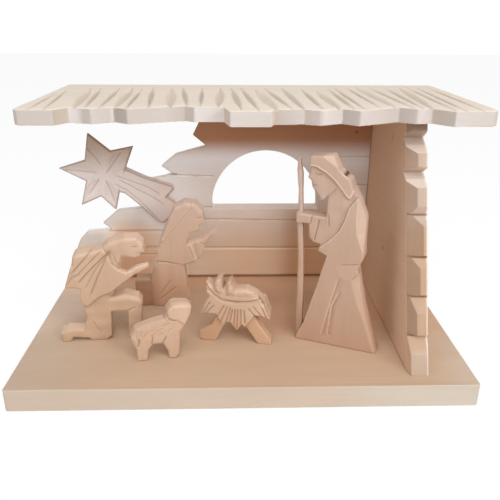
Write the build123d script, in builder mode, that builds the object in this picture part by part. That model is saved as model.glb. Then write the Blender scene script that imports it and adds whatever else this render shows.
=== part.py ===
import os
from math import cos, radians, sin

from build123d import *

# Base board
base_width = 340.0
base_depth = 207.0
base_thickness = 18.0
base_corner_radius = 2.0
base_edge_radius = 0.8
edge_limit_share = 0.4

# Back wall: one panel carved to look like stacked planks
wall_thickness = 18.0
plank_groove_width = 2.4
plank_groove_depth = 1.8
window_radius = 51.0
window_place_share = 0.6323
window_sill_height = 71.5
window_jamb_height = 3.5

# Side wall: a leaning board whose front edge is notched like log ends
side_thickness = 15.0
side_inset = 34.0
side_front_setback = 12.0
side_lean = 69.0
log_notch_depth = 13.0
log_chamfer_depth = 5.0

# Roof board with gouged top and hacked front edge
room_height = 174.0
roof_width = 332.0
roof_depth = 158.0
roof_thickness = 11.0
roof_overhang = 6.0
gouge_count = 34
gouge_width = 5.5
gouge_depth = 1.6

# Comet star on the front of the back wall
star_length = 109.0
star_height = 86.5
star_thickness = 11.0
tail_groove_width = 1.6
tail_groove_depth = 1.2

# Loose figures, each carved from one board
standing_width = 71.8
standing_headroom = 21.3
standing_thickness = 20.0
standing_turn = -23.2
standing_front_gap = 39.5

mother_width = 72.4
mother_height = 98.2
mother_thickness = 20.0
mother_place_share = 0.2209
mother_wall_gap = 46.3

shepherd_width = 72.8
shepherd_height = 87.3
shepherd_thickness = 22.0
shepherd_turn = 5.2
shepherd_front_gap = 60.7

sheep_length = 45.9
sheep_height = 47.9
sheep_thickness = 14.0
sheep_turn = 9.5
sheep_manger_gap = 1.4
sheep_front_gap = 31.45

manger_width = 59.6
manger_height = 56.0
manger_thickness = 14.5
manger_turn = -9.2
manger_front_gap = 54.0

# Free room along the base: left of the shepherd, left of the manger and left of the standing figure
row_gap_shares = [0.2825, 0.4395, 0.1464]
stand_clearance = 0.1

# Wood screws and dowels
screw_diameter = 4.0
screw_length = 40.0
screw_head_diameter = 8.0
screw_head_recess = 0.4
screw_sink_angle = 90.0
screw_socket_width = 2.5
screw_socket_depth = 1.8
screw_socket_sides = 6
dowel_diameter = 6.0
dowel_wall_depth = 16.0
roof_skin = 4.0
star_dowel_diameter = 5.0
star_dowel_depth = 10.0
star_skin = 4.5
fit_clearance = 0.1
dowel_chamfer = 0.8
cut_overrun = 2.0

# Planes and faces that several pieces share
base_left = -base_width / 2
base_front = -base_depth / 2
base_back = base_depth / 2
wall_front = base_back - wall_thickness
wall_middle = base_back - wall_thickness / 2
wall_length = base_width - side_inset
side_outer = base_left + wall_length
side_inner = side_outer - side_thickness
side_middle = side_outer - side_thickness / 2
side_front = base_front + side_front_setback
roof_bottom = base_thickness + room_height
roof_top = roof_bottom + roof_thickness
roof_left = base_width / 2 + roof_overhang - roof_width

# Left end of the back wall, from the base up to the roof: six plank ends with pointed tips
plank_end_shares = [
    (0.023, 0.0), (0.013, 0.057), (0.036, 0.132), (0.033, 0.187), (0.046, 0.236), (0.072, 0.282),
    (0.147, 0.293), (0.121, 0.33), (0.172, 0.405), (0.232, 0.417), (0.288, 0.425), (0.258, 0.494),
    (0.278, 0.583), (0.324, 0.598), (0.346, 0.612), (0.314, 0.652), (0.36, 0.718), (0.451, 0.763),
    (0.413, 0.819), (0.429, 0.875), (0.458, 1.0),
]

# Lines between planks: start, end and height on the back wall
plank_groove_shares = [
    (0.34, 0.47, 0.6), (0.36, 0.475, 0.418), (0.44, 1.0, 0.345), (0.14, 0.31, 0.282),
    (0.1, 0.36, 0.184), (0.1, 0.36, 0.141), (0.408, 1.0, 0.176), (0.833, 1.0, 0.7), (0.815, 1.0, 0.544),
]

# Log ends of the side wall, from the base up:
# height of the notch above, top facet, lower facet, notch depth, chamfer width
log_end_shares = [
    (0.15, 0.07, 0.0, 0.4, 0.15), (0.305, 0.063, 0.006, 0.3, 0.45), (0.46, 0.04, 0.01, 0.3, 0.65),
    (0.626, 0.04, 0.01, 0.3, 0.85), (0.782, 0.047, 0.035, 1.0, 0.5), (0.92, 0.05, 0.035, 1.0, 0.55),
]
top_log_facet_share = 0.04

# Front edge of the roof, from its left end to its right end, measured from the back edge
roof_edge_shares = [
    (0.0, 0.93), (0.01, 0.955), (0.083, 0.955), (0.106, 0.885), (0.155, 0.92), (0.198, 0.87),
    (0.231, 0.925), (0.345, 0.835), (0.367, 0.868), (0.43, 0.868), (0.443, 0.99), (0.527, 0.99),
    (0.535, 0.935), (0.598, 0.925), (0.63, 0.96), (0.678, 0.908), (0.71, 0.968), (0.803, 0.865),
    (0.837, 0.915), (0.87, 0.9), (0.905, 0.985), (0.99, 0.975), (1.0, 0.95),
]

# Gouge cuts in the roof repeat a short run of places, lengths and widths
gouge_middle_shares = [0.46, 0.58, 0.4, 0.62, 0.5, 0.36, 0.55]
gouge_length_shares = [0.86, 0.62, 0.74, 0.56, 0.9]
gouge_width_shares = [1.0, 0.5, 0.8]

# Star with five free rays, its middle, and the tail that runs down to the right
star_shares = [
    (0.553, 0.617), (0.631, 0.862), (0.439, 0.812), (0.265, 0.997), (0.223, 0.716), (0.002, 0.629),
    (0.217, 0.489), (0.159, 0.222), (0.333, 0.319), (0.449, 0.168), (0.49, 0.366),
]
star_middle_share = (0.394, 0.562)
tail_shares = [
    (0.45, 0.5), (0.49, 0.366), (0.648, 0.21), (0.845, 0.0), (0.95, 0.11), (0.9, 0.17), (0.945, 0.264),
    (0.89, 0.318), (0.943, 0.417), (0.816, 0.492), (0.689, 0.54), (0.553, 0.617),
]
tail_groove_shares = [((0.5, 0.53), (0.86, 0.4)), ((0.49, 0.49), (0.84, 0.24)), ((0.48, 0.45), (0.83, 0.1))]
star_rim_share = 0.5
tail_depth_share = 0.75
star_end_share = 0.369
star_foot_share = 0.342
star_dowel_shares = [(0.83, 0.4), (0.86, 0.26)]

# Figures: outlines as shares of width and height
standing_body_shares = [
    (0.09, 0.0), (1.0, 0.0), (0.97, 0.04), (0.905, 0.12), (0.823, 0.245), (0.758, 0.38), (0.73, 0.45),
    (0.785, 0.515), (0.772, 0.58), (0.77, 0.708), (0.696, 0.797), (0.621, 0.851), (0.594, 0.89),
    (0.47, 0.936), (0.397, 1.0), (0.17, 0.991), (0.164, 0.956), (0.172, 0.925), (0.15, 0.884),
    (0.185, 0.872), (0.2, 0.84), (0.31, 0.777), (0.369, 0.81), (0.36, 0.695), (0.088, 0.699),
    (0.04, 0.704), (0.04, 0.649), (0.178, 0.652), (0.192, 0.579), (0.238, 0.559), (0.313, 0.552),
    (0.3, 0.518), (0.394, 0.496), (0.358, 0.436), (0.303, 0.326), (0.229, 0.205), (0.169, 0.1), (0.1, 0.03),
]
standing_hood_shares = [
    (0.22, 0.965), (0.39, 0.97), (0.455, 0.92), (0.57, 0.87), (0.59, 0.835), (0.66, 0.785), (0.735, 0.7),
    (0.74, 0.56), (0.7, 0.51), (0.427, 0.521), (0.36, 0.555), (0.553, 0.695), (0.543, 0.807),
    (0.446, 0.868), (0.29, 0.925), (0.2, 0.945),
]
standing_robe_shares = [(0.27, 0.02), (0.93, 0.02), (0.83, 0.17), (0.7, 0.43), (0.67, 0.475), (0.427, 0.47)]
standing_arm_shares = [
    (0.156, 0.674), (0.388, 0.679), (0.54, 0.675), (0.37, 0.567), (0.233, 0.577), (0.214, 0.664),
]
staff_shares = [
    (0.064, 0.0), (0.165, 0.0), (0.139, 0.07), (0.136, 0.265), (0.123, 0.435), (0.104, 0.635),
    (0.083, 0.806), (0.078, 0.896), (0.048, 0.964), (0.026, 0.97), (0.02, 0.91), (0.044, 0.813),
    (0.042, 0.64), (0.065, 0.443), (0.065, 0.214),
]

mother_body_shares = [
    (0.0, 0.0), (0.673, 0.0), (0.676, 0.017), (0.636, 0.251), (0.613, 0.415), (0.756, 0.445), (0.831, 0.499),
    (0.873, 0.607), (0.96, 0.703), (1.0, 0.745), (0.828, 0.648), (0.655, 0.6), (0.699, 0.72), (0.79, 0.735),
    (0.825, 0.755), (0.83, 0.8), (0.88, 0.82), (0.855, 0.875), (0.863, 0.912), (0.771, 0.991), (0.638, 1.0),
    (0.518, 0.95), (0.459, 0.864), (0.34, 0.663), (0.31, 0.58), (0.288, 0.452), (0.248, 0.402),
    (0.192, 0.274), (0.015, 0.268), (0.006, 0.25),
]
mother_veil_shares = [
    (0.36, 0.63), (0.505, 0.86), (0.57, 0.93), (0.66, 0.965), (0.715, 0.955), (0.63, 0.86), (0.605, 0.73),
    (0.454, 0.647),
]
mother_sleeve_shares = [
    (0.423, 0.438), (0.62, 0.435), (0.74, 0.465), (0.806, 0.511), (0.84, 0.61), (0.665, 0.58), (0.504, 0.605),
    (0.383, 0.585),
]
mother_skirt_shares = [
    (0.27, 0.02), (0.645, 0.02), (0.63, 0.083), (0.585, 0.397), (0.333, 0.397), (0.262, 0.313),
]

shepherd_body_shares = [
    (0.012, 0.0), (0.1, 0.0), (0.129, 0.041), (0.303, 0.027), (0.333, 0.0), (0.488, 0.0), (0.547, 0.039),
    (0.561, 0.29), (0.748, 0.291), (0.73, 0.0), (0.872, 0.0), (0.885, 0.19), (0.904, 0.361), (0.868, 0.416),
    (0.714, 0.455), (0.58, 0.43), (0.66, 0.56), (0.68, 0.66), (0.668, 0.692), (0.719, 0.83), (0.86, 0.81),
    (0.905, 0.822), (0.92, 0.85), (0.97, 0.862), (0.95, 0.9), (0.96, 0.94), (0.892, 0.996), (0.76, 1.0),
    (0.587, 0.958), (0.52, 0.912), (0.264, 0.873), (0.221, 0.85), (0.199, 0.77), (0.134, 0.619),
    (0.109, 0.557), (0.269, 0.545), (0.255, 0.45), (0.284, 0.336), (0.307, 0.251), (0.257, 0.11),
    (0.071, 0.115), (0.0, 0.09),
]
shepherd_arm_shares = [
    (0.56, 0.62), (0.6, 0.5), (0.7, 0.564), (0.858, 0.664), (1.0, 0.725), (0.998, 0.757), (0.881, 0.74),
    (0.758, 0.686), (0.7, 0.705), (0.64, 0.74),
]
shepherd_cloak_shares = [
    (0.3, 0.85), (0.53, 0.885), (0.67, 0.79), (0.64, 0.58), (0.57, 0.49), (0.41, 0.405), (0.3, 0.447),
    (0.31, 0.575), (0.152, 0.575), (0.23, 0.778), (0.25, 0.83),
]
shepherd_thigh_shares = [
    (0.45, 0.315), (0.86, 0.315), (0.872, 0.35), (0.845, 0.392), (0.71, 0.43), (0.545, 0.405),
]
shepherd_shin_shares = [
    (0.122, 0.064), (0.31, 0.045), (0.51, 0.045), (0.53, 0.106), (0.51, 0.266), (0.33, 0.234), (0.31, 0.16),
]

sheep_body_shares = [
    (0.085, 0.0), (0.24, 0.0), (0.268, 0.198), (0.34, 0.283), (0.514, 0.292), (0.582, 0.145), (0.605, 0.0),
    (0.72, 0.0), (0.773, 0.085), (0.791, 0.386), (0.797, 0.458), (0.886, 0.593), (0.975, 0.767), (1.0, 0.92),
    (0.918, 0.982), (0.718, 1.0), (0.652, 0.969), (0.58, 0.868), (0.54, 0.726), (0.22, 0.648), (0.067, 0.588),
    (0.0, 0.469), (0.004, 0.42), (0.058, 0.265), (0.078, 0.22),
]
sheep_fleece_shares = [
    (0.12, 0.33), (0.3, 0.36), (0.55, 0.36), (0.74, 0.44), (0.82, 0.58), (0.7, 0.74), (0.25, 0.62),
    (0.1, 0.56), (0.045, 0.45),
]
sheep_face_place_share = (0.8, 0.79)
sheep_face_radius_shares = (0.14, 0.15)

manger_leg_shares = [
    (0.066, 0.0), (0.242, 0.0), (0.341, 0.225), (0.43, 0.37), (0.552, 0.38), (0.66, 0.262), (0.818, 0.0),
    (1.0, 0.0), (1.0, 0.06), (0.829, 0.311), (0.726, 0.515), (0.291, 0.5), (0.201, 0.268), (0.03, 0.147),
    (0.022, 0.028),
]
manger_straw_shares = [
    (0.056, 0.434), (0.145, 0.464), (0.259, 0.467), (0.344, 0.307), (0.446, 0.355), (0.546, 0.226),
    (0.609, 0.33), (0.651, 0.282), (0.777, 0.478), (0.87, 0.473), (0.979, 0.438), (0.985, 0.488),
    (0.925, 0.645), (0.9, 0.72), (0.817, 0.69), (0.642, 0.65), (0.432, 0.66), (0.263, 0.715), (0.135, 0.82),
    (0.18, 0.735), (0.107, 0.597),
]
manger_child_shares = [
    (0.131, 0.93), (0.15, 0.8), (0.2, 0.7), (0.3, 0.64), (0.44, 0.6), (0.64, 0.59), (0.8, 0.63), (0.88, 0.66),
    (0.795, 0.785), (0.661, 0.854), (0.514, 0.835), (0.48, 0.903), (0.454, 0.978), (0.4, 0.936),
    (0.352, 0.847), (0.346, 0.909), (0.334, 1.0), (0.273, 0.981), (0.204, 0.883), (0.144, 0.925),
]

# Layers of a figure: how deep the front and the back of each field lie in the board
core_depth_shares = (0.14, 0.78)
raised_depth_shares = (0.0, 1.0)
staff_depth_shares = (0.28, 0.54)
reach_depth_shares = (0.05, 0.3)
leg_depth_shares = (0.21, 0.85)
child_depth_shares = (0.14, 0.95)

# Places of the fixings along what they hold
base_screw_wall_shares = [0.16, 0.55, 0.88]
base_screw_side_shares = [0.2, 0.7]
corner_screw_shares = [0.16, 0.5, 0.84]
roof_dowel_wall_shares = [0.52, 0.7, 0.9]
roof_dowel_side_shares = [0.35, 0.8]


def scaled(shares, width, height):
    """Outline points from shares of a width and a height."""
    return [(across * width, up * height) for across, up in shares]


def filled(points):
    """Fill the closed outline through the points in the sketch at hand."""
    Polygon(*points, align=None)


def front_plane(left, front, bottom, turn=0.0):
    """Upright plane that faces the front, turned about the vertical."""
    across = (cos(radians(turn)), sin(radians(turn)), 0)
    facing = (sin(radians(turn)), -cos(radians(turn)), 0)
    return Plane(origin=(left, front, bottom), x_dir=across, z_dir=facing)


def save(part, label):
    """Name a finished piece and write it out."""
    part.label = label
    export_step(part, f"parts/{label}.step")


os.makedirs("parts", exist_ok=True)

# Places of the fixings
side_length = wall_front - side_front
side_top_front = side_front + side_lean
side_top_length = wall_front - side_top_front
wall_screw_places = [(base_left + share * wall_length, wall_middle) for share in base_screw_wall_shares]
side_screw_places = [(side_middle, side_front + share * side_length) for share in base_screw_side_shares]
base_screw_places = wall_screw_places + side_screw_places
corner_screw_heights = [base_thickness + share * room_height for share in corner_screw_shares]
wall_dowel_places = [(base_left + share * wall_length, wall_middle) for share in roof_dowel_wall_shares]
side_dowel_rows = [side_top_front + share * side_top_length for share in roof_dowel_side_shares]
side_dowel_places = [(side_middle, y) for y in side_dowel_rows]
roof_dowel_places = wall_dowel_places + side_dowel_places

screw_radius = screw_diameter / 2
screw_head_radius = screw_head_diameter / 2
screw_hole_radius = screw_radius + fit_clearance
screw_sink_radius = screw_head_radius + fit_clearance + screw_head_recess
dowel_hole_radius = dowel_diameter / 2 + fit_clearance
roof_dowel_depth = roof_thickness - roof_skin
star_dowel_hole_radius = star_dowel_diameter / 2 + fit_clearance
star_tail_thickness = star_thickness * tail_depth_share
star_tail_hole_depth = star_tail_thickness - star_skin

# Base board, with sunk holes for the screws from below
with BuildPart() as base_board:
    with BuildSketch():
        RectangleRounded(base_width, base_depth, base_corner_radius)
    extrude(amount=base_thickness)
    rims = base_board.faces().sort_by(Axis.Z)
    rim_limit = edge_limit_share * min(base_thickness, base_corner_radius)
    fillet(rims[0].edges() + rims[-1].edges(), radius=min(base_edge_radius, rim_limit))
    with Locations(*[Location((x, y, 0), (180, 0, 0)) for x, y in base_screw_places]):
        CounterSinkHole(screw_hole_radius, screw_sink_radius, base_thickness + cut_overrun, screw_sink_angle)
save(base_board.part, "base_board")

# Back wall with its plank ends, arched window and plank lines
wall_plane = front_plane(base_left, wall_front, base_thickness)
wall_outline = scaled(plank_end_shares, wall_length, room_height)
wall_outline += [(wall_length, room_height), (wall_length, 0)]
window_place = window_place_share * wall_length
window_left = window_place - window_radius
window_right = window_place + window_radius
arch_foot = window_sill_height + window_jamb_height
star_left = base_left + star_end_share * wall_length - star_length
star_bottom = base_thickness + star_foot_share * room_height
star_dowel_spots = scaled(star_dowel_shares, star_length, star_height)
star_dowel_places = [(star_left + x, star_bottom + z) for x, z in star_dowel_spots]
with BuildPart() as back_wall:
    with BuildSketch(wall_plane):
        filled(wall_outline)
        with BuildLine():
            arch_top = arch_foot + window_radius
            ThreePointArc((window_left, arch_foot), (window_place, arch_top), (window_right, arch_foot))
            Polyline(
                (window_right, arch_foot), (window_right, window_sill_height),
                (window_left, window_sill_height), (window_left, arch_foot),
            )
        make_face(mode=Mode.SUBTRACT)
    extrude(amount=-wall_thickness)
    for start, end, height in plank_groove_shares:
        line_height = base_thickness + height * room_height
        mouth = plank_groove_width / 2 * (1 + cut_overrun / plank_groove_depth)
        with BuildSketch(Plane.YZ.offset(base_left + start * wall_length)):
            filled([
                (wall_front - cut_overrun, line_height - mouth),
                (wall_front + plank_groove_depth, line_height),
                (wall_front - cut_overrun, line_height + mouth),
            ])
        extrude(amount=(end - start) * wall_length, mode=Mode.SUBTRACT)
    with Locations(*[Location((x, y, base_thickness), (180, 0, 0)) for x, y in wall_screw_places]):
        Hole(screw_hole_radius, depth=screw_length - base_thickness + cut_overrun)
    with Locations(*[Location((x, y, roof_bottom)) for x, y in wall_dowel_places]):
        Hole(dowel_hole_radius, depth=dowel_wall_depth)
    with Locations(*[Location((side_middle, base_back, z), (-90, 0, 0)) for z in corner_screw_heights]):
        CounterSinkHole(screw_hole_radius, screw_sink_radius, wall_thickness + cut_overrun, screw_sink_angle)
    with Locations(*[Location((x, wall_front, z), (90, 0, 0)) for x, z in star_dowel_places]):
        Hole(star_dowel_hole_radius, depth=star_dowel_depth)
save(back_wall.part, "back_wall")

# Side wall: the front edge climbs from log end to log end, leaning back
front_edge = [(side_front, 0.0)]
lower_facet_shares = [row[2] for row in log_end_shares[1:]] + [top_log_facet_share]
for (notch, top_facet, _, depth, _), next_facet in zip(log_end_shares, lower_facet_shares):
    front_edge.append((side_front + (notch - top_facet) * side_lean, notch - top_facet))
    front_edge.append((side_front + notch * side_lean + depth * log_notch_depth, notch))
    front_edge.append((side_front + (notch + next_facet) * side_lean, notch + next_facet))
front_edge.append((side_top_front, 1.0))
side_outline = [(y, base_thickness + share * room_height) for y, share in front_edge]
side_outline += [(wall_front, roof_bottom), (wall_front, base_thickness)]
lean_direction = Vector(0, side_lean, room_height)
with BuildPart() as side_wall:
    with BuildSketch(Plane.YZ.offset(side_inner)):
        filled(side_outline)
    extrude(amount=side_thickness)
    log_bottom = 0.0
    for notch, _, _, _, chamfer_width in log_end_shares:
        foot = side_front + log_bottom * side_lean
        reach = chamfer_width * side_thickness
        slope = log_chamfer_depth / reach
        with BuildSketch(Plane.XY.offset(base_thickness + log_bottom * room_height)):
            filled([
                (side_inner - cut_overrun, foot + log_chamfer_depth + cut_overrun * slope),
                (side_inner + reach + cut_overrun / slope, foot - cut_overrun),
                (side_inner - cut_overrun, foot - cut_overrun),
            ])
        log_run = (notch - log_bottom) * lean_direction.length
        extrude(amount=log_run, dir=lean_direction.normalized(), mode=Mode.SUBTRACT)
        log_bottom = notch
    with Locations(*[Location((x, y, base_thickness), (180, 0, 0)) for x, y in side_screw_places]):
        Hole(screw_hole_radius, depth=screw_length - base_thickness + cut_overrun)
    with Locations(*[Location((x, y, roof_bottom)) for x, y in side_dowel_places]):
        Hole(dowel_hole_radius, depth=dowel_wall_depth)
    with Locations(*[Location((side_middle, wall_front, z), (-90, 0, 0)) for z in corner_screw_heights]):
        Hole(screw_hole_radius, depth=screw_length - wall_thickness + cut_overrun)
save(side_wall.part, "side_wall")

# Roof board: hacked front edge and boat-shaped gouge cuts, each a spindle sunk into the top
gouge_radius = (gouge_width**2 / 4 + gouge_depth**2) / (2 * gouge_depth)
roof_outline = [(roof_left + x, base_back - y) for x, y in scaled(roof_edge_shares, roof_width, roof_depth)]
roof_outline += [(roof_left + roof_width, base_back), (roof_left, base_back)]
with BuildPart() as roof_board:
    with BuildSketch(Plane.XY.offset(roof_bottom)):
        filled(roof_outline)
    extrude(amount=roof_thickness)
    for number in range(gouge_count):
        size = gouge_width_shares[number % len(gouge_width_shares)]
        half_length = gouge_length_shares[number % len(gouge_length_shares)] * roof_depth / 2
        gouge_x = roof_left + (number + 0.5) / gouge_count * roof_width
        gouge_y = base_back - gouge_middle_shares[number % len(gouge_middle_shares)] * roof_depth
        gouge_z = roof_top + (gouge_radius - gouge_depth) * size
        with BuildSketch(Plane((gouge_x, gouge_y, gouge_z))):
            with BuildLine():
                ThreePointArc((0, -half_length), (gouge_radius * size, 0), (0, half_length))
                Line((0, half_length), (0, -half_length))
            make_face()
        revolve(axis=Axis((gouge_x, gouge_y, gouge_z), (0, 1, 0)), mode=Mode.SUBTRACT)
    with Locations(*[Location((x, y, roof_bottom), (180, 0, 0)) for x, y in roof_dowel_places]):
        Hole(dowel_hole_radius, depth=roof_dowel_depth)
save(roof_board.part, "roof_board")

# Comet star: flat rays rising to a point in the middle, and a grooved tail glued to the wall
star_plane = front_plane(star_left, wall_front, star_bottom)
star_outline = scaled(star_shares, star_length, star_height)
star_middle = scaled([star_middle_share], star_length, star_height)[0]
star_rim = star_thickness * star_rim_share
with BuildPart() as comet_star:
    with BuildSketch(star_plane):
        filled(star_outline)
    extrude(amount=star_rim)
    with BuildSketch(star_plane.offset(star_rim), mode=Mode.PRIVATE) as star_foot:
        filled(star_outline)
    star_point = Vertex(star_plane.from_local_coords((*star_middle, star_thickness)))
    loft(sections=[star_foot.sketch.face(), star_point], ruled=True)
    with BuildSketch(star_plane):
        filled(scaled(tail_shares, star_length, star_height))
    extrude(amount=star_tail_thickness)
    for start, end in tail_groove_shares:
        start_point, end_point = scaled([start, end], star_length, star_height)
        run = Vector(*end_point) - Vector(*start_point)
        groove_origin = star_plane.from_local_coords((*start_point, star_tail_thickness))
        groove_plane = Plane(origin=groove_origin, x_dir=star_plane.z_dir, z_dir=Vector(run.X, 0, run.Y))
        mouth = tail_groove_width / 2 * (1 + cut_overrun / tail_groove_depth)
        with BuildSketch(groove_plane):
            filled([(-tail_groove_depth, 0), (cut_overrun, mouth), (cut_overrun, -mouth)])
        extrude(amount=run.length, mode=Mode.SUBTRACT)
    with Locations(*[Location((x, wall_front, z), (-90, 0, 0)) for x, z in star_dowel_places]):
        Hole(star_dowel_hole_radius, depth=star_tail_hole_depth)
save(comet_star.part, "comet_star")


def layered_figure(label, plane, width, height, thickness, layers):
    """A figure sawn from one board: each layer is a field of its outline at its own depth in the board."""
    with BuildPart() as figure:
        for shares, (front, back) in layers:
            with BuildSketch(plane.offset(-front * thickness)):
                filled(scaled(shares, width, height))
            extrude(amount=(front - back) * thickness)
    save(figure.part, label)


# Places of the loose figures, each set from what stands next to it
figure_foot = base_thickness + stand_clearance
standing_height = room_height - standing_headroom
shepherd_set_back = shepherd_thickness * sin(radians(shepherd_turn))
shepherd_span = shepherd_width * cos(radians(shepherd_turn)) + shepherd_set_back
standing_slant = abs(sin(radians(standing_turn)))
standing_span = standing_width * cos(radians(standing_turn)) + standing_thickness * standing_slant
manger_slant = abs(sin(radians(manger_turn)))
manger_span = manger_width * cos(radians(manger_turn)) + manger_thickness * manger_slant
row_free = side_inner - base_left - shepherd_span - manger_span - standing_span
shepherd_left = base_left + row_gap_shares[0] * row_free + shepherd_set_back
manger_left = base_left + sum(row_gap_shares[:2]) * row_free + shepherd_span
standing_left = base_left + sum(row_gap_shares) * row_free + shepherd_span + manger_span
shepherd_front = base_front + shepherd_front_gap
manger_front = base_front + manger_front_gap + manger_width * manger_slant
standing_front = base_front + standing_front_gap + standing_width * standing_slant
sheep_left = manger_left - sheep_manger_gap - sheep_length * cos(radians(sheep_turn))
mother_left = base_left + mother_place_share * base_width
mother_front = wall_front - mother_wall_gap - mother_thickness

# Standing figure with a staff
standing_plane = front_plane(standing_left, standing_front, figure_foot, standing_turn)
layered_figure("standing_figure", standing_plane, standing_width, standing_height, standing_thickness, [
    (standing_body_shares, core_depth_shares),
    (staff_shares, staff_depth_shares),
    (standing_hood_shares, raised_depth_shares),
    (standing_robe_shares, raised_depth_shares),
    (standing_arm_shares, raised_depth_shares),
])

# Kneeling mother
mother_plane = front_plane(mother_left, mother_front, figure_foot)
layered_figure("mother_figure", mother_plane, mother_width, mother_height, mother_thickness, [
    (mother_body_shares, core_depth_shares),
    (mother_veil_shares, raised_depth_shares),
    (mother_sleeve_shares, raised_depth_shares),
    (mother_skirt_shares, raised_depth_shares),
])

# Kneeling shepherd with a cloak
shepherd_plane = front_plane(shepherd_left, shepherd_front, figure_foot, shepherd_turn)
layered_figure("shepherd_figure", shepherd_plane, shepherd_width, shepherd_height, shepherd_thickness, [
    (shepherd_body_shares, core_depth_shares),
    (shepherd_arm_shares, reach_depth_shares),
    (shepherd_cloak_shares, raised_depth_shares),
    (shepherd_thigh_shares, raised_depth_shares),
    (shepherd_shin_shares, raised_depth_shares),
])

# Manger with the child
manger_plane = front_plane(manger_left, manger_front, figure_foot, manger_turn)
layered_figure("manger", manger_plane, manger_width, manger_height, manger_thickness, [
    (manger_leg_shares, leg_depth_shares),
    (manger_straw_shares, raised_depth_shares),
    (manger_child_shares, child_depth_shares),
])

# Sheep, with the face left standing as an oval on both sides
sheep_plane = front_plane(sheep_left, base_front + sheep_front_gap, figure_foot, sheep_turn)
with BuildPart() as sheep:
    with BuildSketch(sheep_plane.offset(-core_depth_shares[0] * sheep_thickness)):
        filled(scaled(sheep_body_shares, sheep_length, sheep_height))
    extrude(amount=(core_depth_shares[0] - core_depth_shares[1]) * sheep_thickness)
    with BuildSketch(sheep_plane):
        filled(scaled(sheep_fleece_shares, sheep_length, sheep_height))
        with Locations(*scaled([sheep_face_place_share], sheep_length, sheep_height)):
            Ellipse(sheep_face_radius_shares[0] * sheep_length, sheep_face_radius_shares[1] * sheep_height)
    extrude(amount=-sheep_thickness)
save(sheep.part, "sheep")


def wood_screws(label, places):
    """Sunk-head wood screws, with the head's face on each place and the point along its own axis."""
    head_height = screw_head_radius - screw_radius
    with BuildPart() as screw:
        with BuildSketch(Plane.XZ):
            filled([
                (0, 0), (screw_head_radius, 0), (screw_radius, head_height),
                (screw_radius, screw_length - screw_diameter), (0, screw_length),
            ])
        revolve(axis=Axis.Z)
        with BuildSketch():
            RegularPolygon(screw_socket_width / 2, screw_socket_sides, major_radius=False)
        extrude(amount=screw_socket_depth, mode=Mode.SUBTRACT)
    with BuildPart() as screws:
        with Locations(*places):
            add(screw.part)
    save(screws.part, label)


def dowels(label, places, diameter, length):
    """Round pegs with eased ends, standing on each place along its own axis."""
    with BuildPart() as pegs:
        with Locations(*places):
            Cylinder(diameter / 2, length, align=(Align.CENTER, Align.CENTER, Align.MIN))
        ends = pegs.edges().filter_by(GeomType.CIRCLE)
        chamfer(ends, length=min(dowel_chamfer, diameter * edge_limit_share))
    save(pegs.part, label)


# Screws up through the base, screws through the back wall, and dowels under the roof and behind the star
wood_screws("base_screws", [Location((x, y, screw_head_recess)) for x, y in base_screw_places])
corner_screw_seats = [(side_middle, base_back - screw_head_recess, z) for z in corner_screw_heights]
wood_screws("corner_screws", [Location(seat, (90, 0, 0)) for seat in corner_screw_seats])
roof_dowel_foot = roof_bottom - dowel_wall_depth + fit_clearance
roof_dowel_length = dowel_wall_depth + roof_dowel_depth - 2 * fit_clearance
roof_dowel_seats = [Location((x, y, roof_dowel_foot)) for x, y in roof_dowel_places]
dowels("roof_dowels", roof_dowel_seats, dowel_diameter, roof_dowel_length)
star_dowel_foot = wall_front + star_dowel_depth - fit_clearance
star_dowel_length = star_dowel_depth + star_tail_hole_depth - 2 * fit_clearance
star_dowel_seats = [Location((x, star_dowel_foot, z), (90, 0, 0)) for x, z in star_dowel_places]
dowels("star_dowels", star_dowel_seats, star_dowel_diameter, star_dowel_length)
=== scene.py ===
"""Looks of a carved wooden crib set, built in metres around the frame of its solids."""

import math

import bpy
import numpy as np
from mathutils import Matrix, Vector


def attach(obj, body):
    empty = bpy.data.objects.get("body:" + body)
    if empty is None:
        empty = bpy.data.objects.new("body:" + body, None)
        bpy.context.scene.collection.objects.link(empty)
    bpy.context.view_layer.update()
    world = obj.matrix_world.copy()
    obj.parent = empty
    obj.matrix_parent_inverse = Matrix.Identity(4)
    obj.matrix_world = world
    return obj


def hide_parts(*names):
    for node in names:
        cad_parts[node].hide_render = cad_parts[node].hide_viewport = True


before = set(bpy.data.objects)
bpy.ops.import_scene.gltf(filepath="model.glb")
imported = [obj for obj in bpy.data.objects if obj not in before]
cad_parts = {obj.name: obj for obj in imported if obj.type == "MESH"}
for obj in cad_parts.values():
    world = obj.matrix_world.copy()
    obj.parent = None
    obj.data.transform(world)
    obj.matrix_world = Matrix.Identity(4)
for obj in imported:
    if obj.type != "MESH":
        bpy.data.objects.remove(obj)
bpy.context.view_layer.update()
scene = bpy.context.scene

# Sizes shared by several pieces, in millimetres
MM = 0.001
BASE_LEFT = -170.0
BASE_TOP = 18.0
FIGURE_FOOT = 18.1
WALL_FRONT = 85.5
WALL_BACK = 103.5
WALL_LENGTH = 306.0
WALL_THICKNESS = 18.0
ROOM_HEIGHT = 174.0
SIDE_OUTER = 136.0
SIDE_THICKNESS = 15.0
ROOF_LEFT = -156.0
ROOF_LENGTH = 332.0
ROOF_DEPTH = 158.0
ROOF_THICKNESS = 11.0
ROOF_TOP = 203.0

# Carving: reach of the shade beside a cut, distance of the points of a rim, share of the way by which grid
# points on an edge are drawn onto it, and the angle from which an edge is shaded sharp
LINE_REACH = 0.9
RIM_STEP = 0.12
SNAP = 0.97
SHARP_ANGLE = math.radians(48)

# Strength of the sky as light and as seen, then the floor's reach in metres, its glow and how much is seen
SKY_LIGHT, SKY_SEEN = 0.42, 1.05
FLOOR_REACH, FLOOR_GLOW, FLOOR_SEEN = 4.0, 1.06, 0.85

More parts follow.
